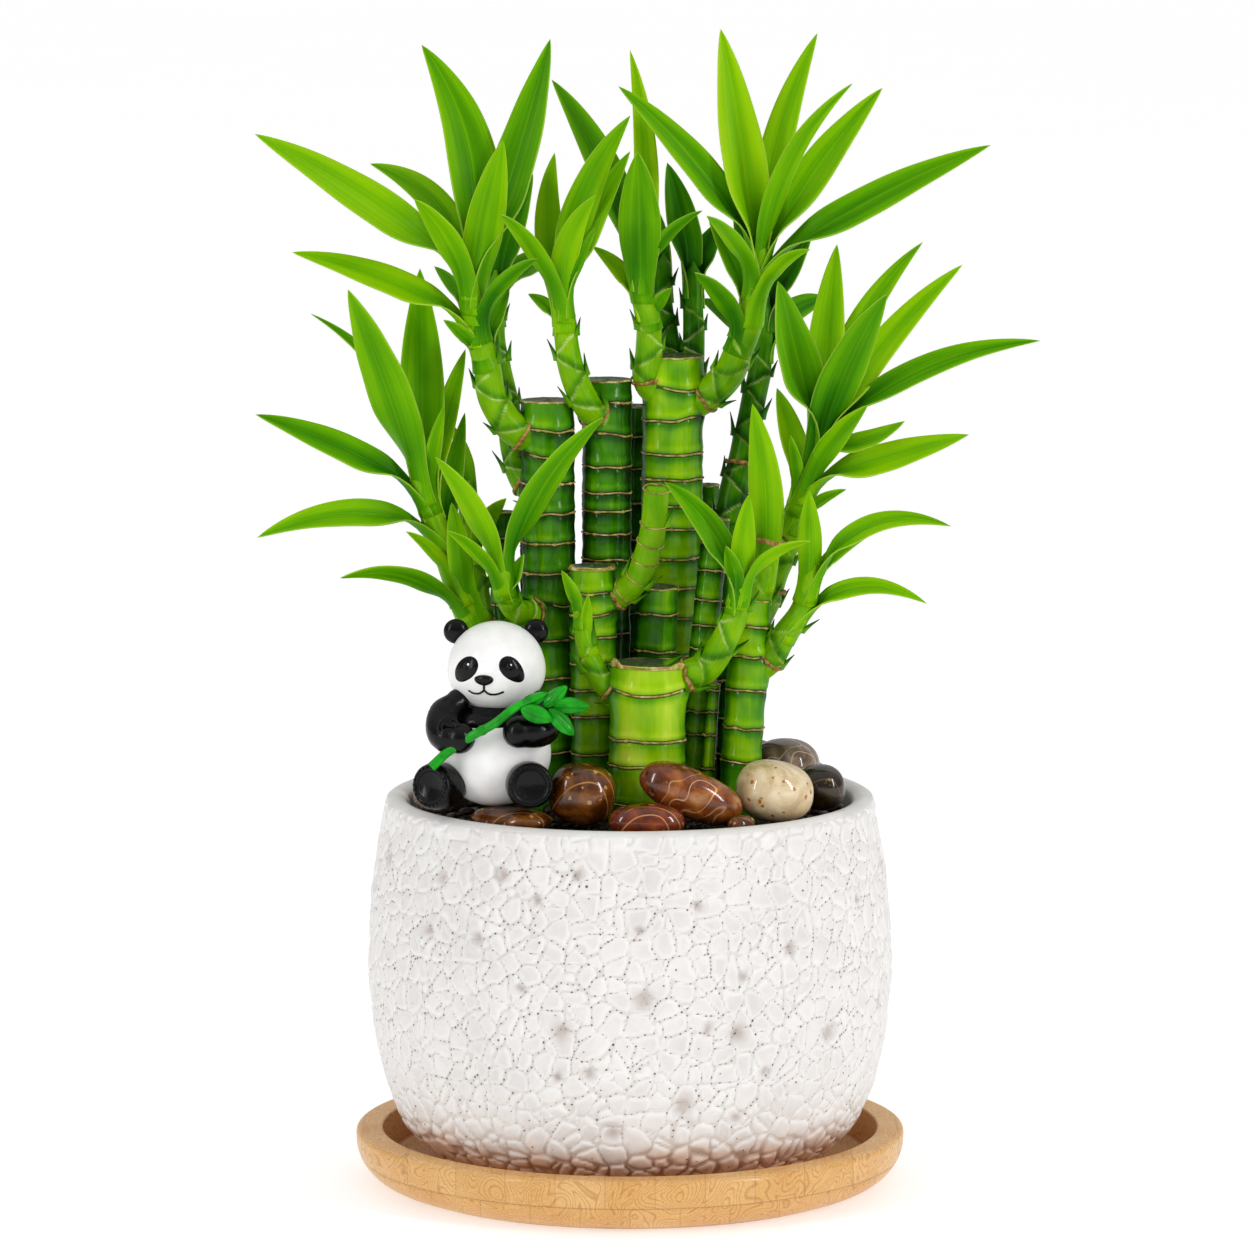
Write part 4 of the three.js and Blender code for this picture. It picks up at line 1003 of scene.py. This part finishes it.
def make_stem(bm, shoot, heights, leans, tone, seed):
    """A shoot wrapped in old sheaths, whose slanting edges rise to either side in turn."""
    route = Route(shoot.route)
    rise = 1.3 * shoot.radius[0]
    end = route.length + (3 if shoot.leaves else 0.6)
    shown = {}

    def edges_at(column):
        if column not in shown:
            angle = TURN * column / STEM_AROUND
            edges = [-FAR]
            for index, (height, lean) in enumerate(zip(heights, leans)):
                edge = height - rise * (1 - math.cos(angle - lean)) / 2
                edge += 0.4 * noise.noise(polar(2, angle, index * 3.1 + seed))
                # An outer sheath hides the edge of one that is lower.
                if edge > edges[-1] + 0.7:
                    edges.append(edge)
            shown[column] = edges
        return shown[column]

    def gaps(u, d):
        """Distance on to the next sheath edge, and from the last one."""
        edges = edges_at(round(u * STEM_AROUND) % STEM_AROUND)
        index = bisect.bisect_right(edges, d)
        return (edges[index] - d if index < len(edges) else FAR), d - edges[index - 1]

    def bend(u, v):
        d = end * v
        point, tangent = route.at(d)
        side, back = stem_frame(tangent)
        share = min(1, d / route.length)
        ahead, past = gaps(u, d)
        lift = max(math.exp(-ahead / 2.5), 1 - smooth(0, 0.8, past))
        r = mix(*shoot.radius, share) - 0.05 + 0.36 * lift * mix(1, 0.7, share)
        r *= mix(1, 0.2 if shoot.leaves else 0.75, smooth(min(route.length * 0.97, end - 1.5), end, d))
        return point + swing(side, back, TURN * u) * r

    def marks(u, v):
        ahead, past = gaps(u, end * v)
        # Under is painted shade where the stem comes out of the last sheath; above the last edge the leaves clasp the
        # stem, with no dark seam, and the painted shade is weaker.
        dark = smooth(3.4, 0.9, past) * (0.25 if ahead >= FAR else 1)
        return {"edge": max(smooth(0.55, 0, ahead), smooth(0.45, 0.1, past)), "under": dark, "tone": tone}

    close_tube(bm, bend_grid(bm, STEM_AROUND, round(end / 0.4), bend, marks))
    return route


def add_bract(bm, route, radius, d, angle, tone, rng):
    """The dark drawn-out point of an old sheath."""
    long, wide, flare = rng.uniform(4.5, 7), rng.uniform(3.4, 4.6), rng.uniform(0.12, 0.36)
    point, tangent = route.at(d)
    side, back = stem_frame(tangent)
    out = swing(side, back, angle)
    around = tangent.cross(out)
    r = mix(*radius, d / route.length) + 0.1

    def bend(u, v):
        across = math.cos(TURN * u) * wide / 2 * (1 - v) ** 0.8
        thick = math.sin(TURN * u) * (0.75 * (1 - v) + 0.1)
        spine = point + tangent * (v * long - 1) + out * (r + flare * long * v ** 1.4)
        return spine + around * across + out * (thick - across ** 2 / (2 * r) * (1 - v))

    def marks(u, v):
        return {"edge": 0.0, "under": 0.0, "tone": mix(tone, 0.1, v ** 1.6)}

    close_tube(bm, bend_grid(bm, 8, 9, bend, marks))


def leaf_width(along):
    """Share of a leaf's full width from its clasping base, 0, to its drawn-out tip, 1."""
    return 2.4 * (along + 0.01) ** 0.5 * max(0.0, 1 - along) ** 0.85


def make_leaf(bm, route, radius, leaf, tone, rng):
    """A lance-shaped blade, folded along its midrib, whose base clasps the stem."""
    at, tip, width, bow, *sweep = leaf
    foot, up_stem = route.at(at * route.length)
    end = Vector(tip)
    outward = (end - foot)
    outward.z = 0
    outward.normalize()
    clasp = mix(*radius, at) + 0.3
    start = foot + outward * mix(*radius, at) * 0.4
    chord = end - start
    sideways = outward.cross(UP)
    middle = (start + end) / 2 + sideways.cross(chord) * 2 * bow
    middle += sideways * 2 * (sweep[0] if sweep else 0) * chord.length
    away = (outward - up_stem * outward.dot(up_stem)).normalized()
    round_stem = up_stem.cross(away)
    low = min(6.0, 0.16 * chord.length + 1.5)
    reach = min(1.9, 0.9 + width * 0.11)
    fold = math.radians(rng.uniform(22, 32))
    waves = rng.uniform(2.2, 3.4)
    shift = rng.uniform(0, TURN)
    curl = rng.uniform(-0.25, 0.25)
    long = chord.length
    through = (end - start).normalized()
    hand_up = -1 if sideways.cross(through).dot(FRONT - through * FRONT.dot(through)) < -0.2 else 1

    def bend(u, v):
        s, t = 2 * u - 1, v
        tangent = ((middle - start) * (1 - t) + (end - middle) * t).normalized()
        grown = sideways.cross(tangent)
        front = (FRONT - tangent * FRONT.dot(tangent)).normalized()
        turn = 0.7 * smooth(0, 0.4, t)
        face = (grown * (1 - turn) + front * turn * hand_up).normalized()
        side = face.cross(tangent)
        half = width / 2 * 1.12 * leaf_width(t)
        open_up = mix(fold, math.radians(9), smooth(0.05, 0.7, t))
        ripple = 0.05 * math.sin(waves * TURN * t + shift + (s > 0)) * abs(s) ** 1.5 * smooth(0.1, 0.4, t)
        lift = (math.sqrt(s * s + 0.012) - 0.11) * math.sin(open_up) + ripple + curl * t * t * s * 0.5
        spine = start * (1 - t) ** 2 + middle * 2 * t * (1 - t) + end * t * t
        blade = spine + side * half * s * math.cos(open_up) + face * half * lift
        held = 1 - smooth(0.0, min(0.3, 9 / long), t)
        if held <= 0:
            return blade
        d = at * route.length - low * (1 - t / 0.25)
        point, _ = route.at(min(d, at * route.length + 2))
        hand = 1 if side.dot(round_stem) > 0 else -1
        a = s * reach * hand
        wrap = point + swing(away, round_stem, a) * (clasp + 0.15 * abs(s))
        return blade.lerp(wrap, held)

    def marks(u, v):
        return {"tone": tone}

    bend_grid(bm, 10 if width > 5 else 8, min(44, max(14, round(long / 1.5))), bend, marks)


def make_collar(bm, route, out, radius, seed):
    """The torn bark where a shoot breaks out of its cane."""
    def path(angle):
        rough, fine = noise.noise(polar(1.6, angle, seed)), noise.noise(polar(6, angle, seed + 4))
        point, tangent = route.at(out + 0.5 + rough * 0.6)
        around = swing(*stem_frame(tangent), angle)
        return point + around * (radius + 0.22), around, tangent, 0.3 + 0.1 * fine, 0.5 + 0.35 * rough + 0.2 * fine

    bend_hoop(bm, 72, 10, path)


def add_tatter(bm, cane):
    """The dried edge of the last sheath, still standing round a sawn cane."""
    place, length = lean(cane)
    turn = place.to_3x3()
    peaks = [(math.radians(-150), 2.4, 0.25), (math.radians(-39), 1.6, 0.35), (math.radians(60), 0.8, 0.5)]

    def path(angle):
        out = polar(1, angle)
        torn = max(tall * math.exp(-(math.remainder(angle - at, TURN) / wide) ** 2) for at, tall, wide in peaks)
        tall = 0.14 + 0.08 * noise.noise(out * 3) + torn * cane.radius / 20
        point = place @ (out * (cane.radius + 0.45 + 0.1 * noise.noise(out * 2)) + UP * (length - 0.9 + tall))
        return point, turn @ out, turn @ UP, 0.13, tall

    bend_hoop(bm, 120, 8, path)


def add_shoot_rings(bm, shoot):
    """Tan rings that sag round a smooth shoot, and the one at its sawn end."""
    route = Route(shoot.route)
    for d in [2.5, 8, 13.5, 18.5, 23.5, 28.5, route.length]:
        def path(angle):
            point, tangent = route.at(d)
            around = swing(*stem_frame(tangent), angle)
            point, tangent = route.at(d + 0.9 * around.y + 0.3 * noise.noise(around * 2 + UP * d))
            return point + around * (mix(*shoot.radius, min(1, d / route.length)) + 0.12), around, tangent, 0.22, 0.2

        bend_hoop(bm, 64, 8, path)


def make_canes():
    ring, bark = make_grained_material("corky_tan_scar"), make_grained_material("dry_tan_bark")
    culm, skin, blade = make_culm_material(), make_sheath_material(), make_leaf_material()
    for number, (name, cane) in enumerate(CANES.items()):
        roots = shoot_roots(cane)
        rng = random.Random(number + 40)
        make_culm(name, cane, roots, culm)
        make_rings(name, cane, roots, ring)
        if not cane.shoots:
            continue
        stems, leaves, collars = new_bmesh("edge", "under", "tone"), new_bmesh("tone"), new_bmesh()
        for index, (shoot, (_, _, out)) in enumerate(zip(cane.shoots, roots)):
            seed = number * 7 + index
            depth = sum(y for _, y, _ in shoot.route) / len(shoot.route)
            shade = 0.26 * smooth(8, 26, depth)
            bare = min([leaf[0] for leaf in shoot.leaves] + [0.95])
            smooth_skin = name == "cane_front_left"
            heights = [] if smooth_skin else sheath_heights(Route(shoot.route).length, bare)
            leans = [i * math.pi + rng.uniform(-0.3, 0.3) for i in range(len(heights))]
            route = make_stem(stems, shoot, heights, leans, 0.6 - shade, seed)
            make_collar(collars, route, out, mix(*shoot.radius, 0.08), seed)
            for leaf in shoot.leaves:
                make_leaf(leaves, route, shoot.radius, leaf, 0.56 + rng.uniform(-0.14, 0.14) - shade, rng)
            for d, angle in zip(heights, leans):
                add_bract(stems, route, shoot.radius, d, angle, 0.5 - shade, rng)
            if smooth_skin:
                for d, angle in SMOOTH_SHOOT_BRACTS:
                    add_bract(stems, route, shoot.radius, d, angle, 0.6, rng)
        make_piece(f"{name}_stems", stems, skin, "plant", name)
        make_piece(f"{name}_collars", collars, bark, "plant", name)
        if not leaves.faces:
            continue
        piece = make_piece(f"{name}_leaves", leaves, blade, "plant", name, welded=False)
        thick = piece.modifiers.new("blade", "SOLIDIFY")
        thick.thickness = 0.0004
        thick.offset = 0
    return [(*(lean(cane)[0] @ Vector((0, 0, SOIL_CROWN - CANE_FOOT))).xy, cane.radius) for cane in CANES.values()]


# ---- Panda figurine ----

HEAD = ((-35, -32, 143.7), (12.7, 11.3, 12))
TORSO = ((-35.5, -33, 121), (14.8, 11.3, 14))
EARS = {"left": (-45.6, -29, 152.6), "right": (-24.7, -29, 152.6)}
# Eye patches: x, z, half width, half height, tilt. Eyes: x, z.
PATCHES = {"left": (-43.2, 143.7, 2.65, 4.9, -40), "right": (-30.6, 144.2, 2.7, 4.5, 42)}
EYES = {"left": (-42.5, 145.3), "right": (-31.4, 145.3)}
# Feet: middle of the sole, and the way it faces.
FEET = {"left": ((-52.2, -43.6, 113.7), (-0.58, -0.8, 0.08)), "right": ((-25.8, -48.0, 114.6), (0.12, -0.98, 0.08))}
STITCHES = 24
# A foot turned about the way that it faces: a sunk sole, a thick rim, and a round heel.
FOOT_OUTLINE = [(0, -0.5), (3.6, -0.45), (4.1, -0.1), *arc((5.0, -0.7), 0.95, 150, 20, 6), (6.1, -2.2), (6.2, -4),
                (6, -7), (5.2, -9.2), (3.6, -10.9), (1.7, -11.7), (0, -12)]
# Limbs: points from the shoulder to the paw, with the radius at each.
ARMS = [[((-45, -36, 135.2), 3.2), ((-48.6, -38.5, 131), 4.5), ((-48, -42, 127.2), 4.7), ((-44.4, -44, 126.6), 4.1)],
        [((-24.5, -35, 134.5), 3.4), ((-22.3, -38.5, 131), 4.4), ((-23.2, -42.5, 128.9), 4.7),
         ((-29, -45.5, 128.4), 4.2)]]
CHEST_BAND = ((-36, -33.5, 129.5), (11.5, 8.9, 5))
SPRIG = [(-51.8, -46.5, 119.3), (-47.2, -45.8, 123.4), (-40.8, -47, 127.8), (-35.4, -48, 130.9), (-30.2, -48, 135),
         (-27.5, -47.8, 136.4)]
# Leaves of the sprig: centre, half length, half width, turn in the picture plane.
SPRIG_LEAVES = [((-25.2, -47.6, 137.1), 4.6, 1.7, 25), ((-19.4, -48, 138.2), 4.1, 1.9, 42),
                ((-15.4, -48, 135.7), 4.9, 2.2, -3), ((-24.2, -49.2, 133.6), 4.5, 2.4, -20),
                ((-17.8, -48.5, 131.5), 4.8, 2.2, -48)]


def add_ball(bm, centre, radii, segments=48):
    verts = bmesh.ops.create_uvsphere(bm, u_segments=segments, v_segments=segments // 2, radius=1)["verts"]
    bmesh.ops.transform(bm, matrix=pose(centre, radii=radii), verts=verts)
    return verts


def on_ball(ball, x, z, proud=0.0):
    """The point on the front of an ellipsoid at x and z."""
    (cx, cy, cz), (rx, ry, rz) = ball
    left = max(0.02, 1 - ((x - cx) / rx) ** 2 - ((z - cz) / rz) ** 2)
    return Vector((x, cy - ry * math.sqrt(left) - proud, z))


def add_pad(bm, ball, x, z, wide, tall, tilt, proud, egg=0.0):
    """A low cushion on the front of an ellipsoid, wider at its top by the share egg."""
    turn = Matrix.Rotation(math.radians(tilt), 2)

    def bend(u, v):
        a = TURN * u
        dx, dz = turn @ Vector((wide * v * math.cos(a) * (1 + egg * math.sin(a)), tall * v * math.sin(a)))
        return on_ball(ball, x + dx, z + dz, -0.25 + (proud + 0.25) * (1 - v ** 3.2) ** 0.6)

    weld(bm, bend_grid(bm, 48, 12, bend))


def add_limb(bm, joints):
    """A rounded limb whose radius changes smoothly along its joints."""
    route = Route([point for point, _ in joints])
    radii = [radius for _, radius in joints]
    first, last = radii[0], radii[-1]

    def bend(u, v):
        d = mix(-first, route.length + last, (1 - math.cos(math.pi * v)) / 2)
        at = min(1, max(0, d / route.length)) * (len(radii) - 1)
        index = min(int(at), len(radii) - 2)
        r = mix(radii[index], radii[index + 1], smooth(0, 1, at - index))
        past = -d / first if d < 0 else (d - route.length) / last if d > route.length else 0
        r *= math.sqrt(max(0.0, 1 - past ** 2))
        point, tangent = route.at(d)
        side = tangent.cross(Vector((0.3, 0.1, 1))).normalized()
        return point + swing(side, side.cross(tangent), TURN * u) * r

    weld(bm, bend_grid(bm, 40, 48, bend))


def add_rod(bm, points, thick, around=12, grow=None):
    """A round rod along a route."""
    route = Route(points)

    def bend(u, v):
        point, tangent = route.at(route.length * v)
        side, back = stem_frame(tangent) if abs(tangent.y) < 0.95 else (Vector((1, 0, 0)), UP)
        r = thick * (grow(v) if grow else 1)
        return point + swing(side, back, TURN * u) * r

    close_tube(bm, bend_grid(bm, around, max(8, round(route.length / 0.4)), bend))


def add_sprig_leaf(bm, centre, long, wide, turn):
    """A moulded leaf with a raised rim and midrib."""
    lay = pose(centre, -turn)

    def bend(u, v):
        t, b = 2 * v - 1, TURN * u
        half = wide * max(0.0, 1 - abs(t) ** 2.1) ** 0.75 * (1 - 0.15 * t)
        s = math.cos(b)
        rib = 0.8 * math.exp(-((abs(s) - 0.84) / 0.14) ** 2) + 0.7 * math.exp(-(s / 0.14) ** 2)
        thick = (0.5 + 0.7 * (1 - s * s) + rib * smooth(1.0, 0.8, abs(t))) * math.sqrt(max(0.0, 1 - abs(t) ** 6))
        full = 1 if math.sin(b) > 0 else 0.5
        return lay @ Vector((long * t, -full * math.sin(b) * thick, half * s))

    close_tube(bm, bend_grid(bm, 56, 32, bend))


def add_foot(bm, sole, way):
    """A stubby foot with stitches round its sole."""
    turned = new_bmesh()
    spin_outline(turned, FOOT_OUTLINE, 72)
    for step in range(STITCHES):
        add_ball(turned, polar(5.05, TURN * step / STITCHES, 0.3), (0.42, 0.42, 0.36), 12)
    bmesh.ops.transform(turned, matrix=facing(sole, Vector(way).normalized()), verts=turned.verts)
    pour(turned, bm).free()


def make_panda():
    white = make_resin_material("white_painted_resin", "FAF9F8", "F1EFED", 0.34, 0.2, 0.1)
    black = make_resin_material("black_painted_resin", "020203", "060607", 0.24, 0.15, 0.65)
    green = make_resin_material("green_painted_resin", "0A7C0A", "1EAE1E", 0.22, 0.16, 0.05)

    bm = new_bmesh()
    for vert in add_ball(bm, *HEAD, segments=96):
        # Full cheeks below the eyes.
        low = smooth(148, 139, vert.co.z) * smooth(131, 137, vert.co.z)
        vert.co.x = HEAD[0][0] + (vert.co.x - HEAD[0][0]) * (1 + 0.035 * low)
    add_ball(bm, *TORSO, segments=96)
    make_piece("panda_head_and_torso", bm, white, "panda_white", "panda_body", welded=False)

    bm = new_bmesh()
    for joints in ARMS:
        add_limb(bm, joints)
    # The casting's curl on the left arm.
    curl = [(-47.4 + r * math.cos(a), -46.6 + r * 0.16, 129.5 + r * math.sin(a))
            for a, r in [(step * 0.5, 3 - 0.075 * step) for step in range(26)]]
    add_rod(bm, curl, 0.33)
    add_ball(bm, *CHEST_BAND, segments=64)
    make_piece("panda_arms_black", bm, black, "panda_black", "panda_arms", welded=False)

    for side, centre in EARS.items():
        bm = new_bmesh()
        add_ball(bm, centre, (3.3, 2.1, 3.3))
        make_piece(f"panda_ear_{side}_black", bm, black, "panda_black", f"panda_ear_{side}", welded=False)

    for side, (x, z, wide, tall, tilt) in PATCHES.items():
        bm = new_bmesh()
        add_pad(bm, HEAD, x, z, wide, tall, tilt, 0.5, 0.2)
        ex, ez = EYES[side]
        add_ball(bm, on_ball(HEAD, ex, ez, 0.3), (1.0, 0.7, 1.05), 32)
        make_piece(f"panda_eye_patch_{side}_black", bm, black, "panda_black", f"panda_eye_patch_{side}", welded=False)
        # The small white ball on each eye is a painted glint, a painted highlight.
        bm = new_bmesh()
        add_ball(bm, on_ball(HEAD, ex + 0.35, ez + 0.4, 0.9), (0.32, 0.18, 0.32), 16)
        make_piece(f"panda_eye_glint_{side}", bm, white, "panda_white", f"panda_eye_patch_{side}", welded=False)

    bm = new_bmesh()
    add_pad(bm, HEAD, -38.1, 141.6, 2.6, 1.5, 0, 0.9, 0.15)
    for points in ([(-38.05, 140.8), (-38.05, 139.9), (-38.05, 138.8)],
                   [(-42.1, 138.6), (-40.9, 137.95), (-39.3, 137.95), (-38.05, 138.85)],
                   [(-38.05, 138.85), (-36.7, 137.85), (-34.8, 137.8), (-32.9, 138.5)]):
        add_rod(bm, [on_ball(HEAD, x, z, 0.08) for x, z in points], 0.3, 10)
    make_piece("panda_nose_and_mouth", bm, black, "panda_black", "panda_nose", welded=False)

    for side, (sole, way) in FEET.items():
        bm = new_bmesh()
        add_foot(bm, sole, way)
        make_piece(f"panda_foot_{side}_black", bm, black, "panda_black", f"panda_foot_{side}", welded=False)

    bm = new_bmesh()
    add_rod(bm, SPRIG, 1.3, 20, lambda v: 1 + 0.18 * math.exp(-((v - 0.56) / 0.02) ** 2) - 0.15 * v)
    for leaf in SPRIG_LEAVES:
        add_sprig_leaf(bm, *leaf)
    make_piece("panda_sprig_green", bm, green, "sprig_green", "panda_sprig", welded=False)


# ---- The whole ----

def make_floor():
    bm = new_bmesh()
    bmesh.ops.create_grid(bm, x_segments=2, y_segments=2, size=9)
    mesh = bpy.data.meshes.new("floor")
    bm.to_mesh(mesh)
    bm.free()
    mesh.materials.append(make_floor_material())
    floor = bpy.data.objects.new("floor", mesh)
    bpy.context.scene.collection.objects.link(floor)


def light_room():
    """A white tent: bright behind and above, dim behind the camera, with a tall soft light at each side."""
    world = bpy.data.worlds.new("white_tent")
    world.use_nodes = True
    tree = world.node_tree
    add = partial(put, tree)
    way = add("SeparateXYZ", add("TexCoord").outputs["Generated"])
    behind = add("MapRange SMOOTHSTEP", way.outputs[1], -0.8, 0.8, 0.3, 0.5)
    beside = add("Math ABSOLUTE", way)
    beside = add("MapRange SMOOTHSTEP", beside, 0.5, 0.95, 0, -0.08)
    above = add("MapRange SMOOTHSTEP", way.outputs[2], 0.1, 1, 0, 0.5)
    strength = add("Math", add("Math", behind, above), beside)
    tree.links.new(strength.outputs[0], tree.nodes["Background"].inputs["Strength"])
    tree.nodes["Background"].inputs["Color"].default_value = ink("FFFFFF")
    bpy.context.scene.world = world
    bpy.context.scene.view_settings.view_transform = "Standard"
    add_softbox("soft_left", (-1.38, -1.12, 0.75), (0, 0, 0.16), (0.12, 1.1), 9)
    add_softbox("soft_right", (1.42, -1.05, 0.8), (0, 0, 0.16), (0.14, 1.1), 12.5)


add_camera()
light_room()
make_floor()
make_saucer()
make_pot()
make_soil(make_canes())
make_pebbles()
make_panda()
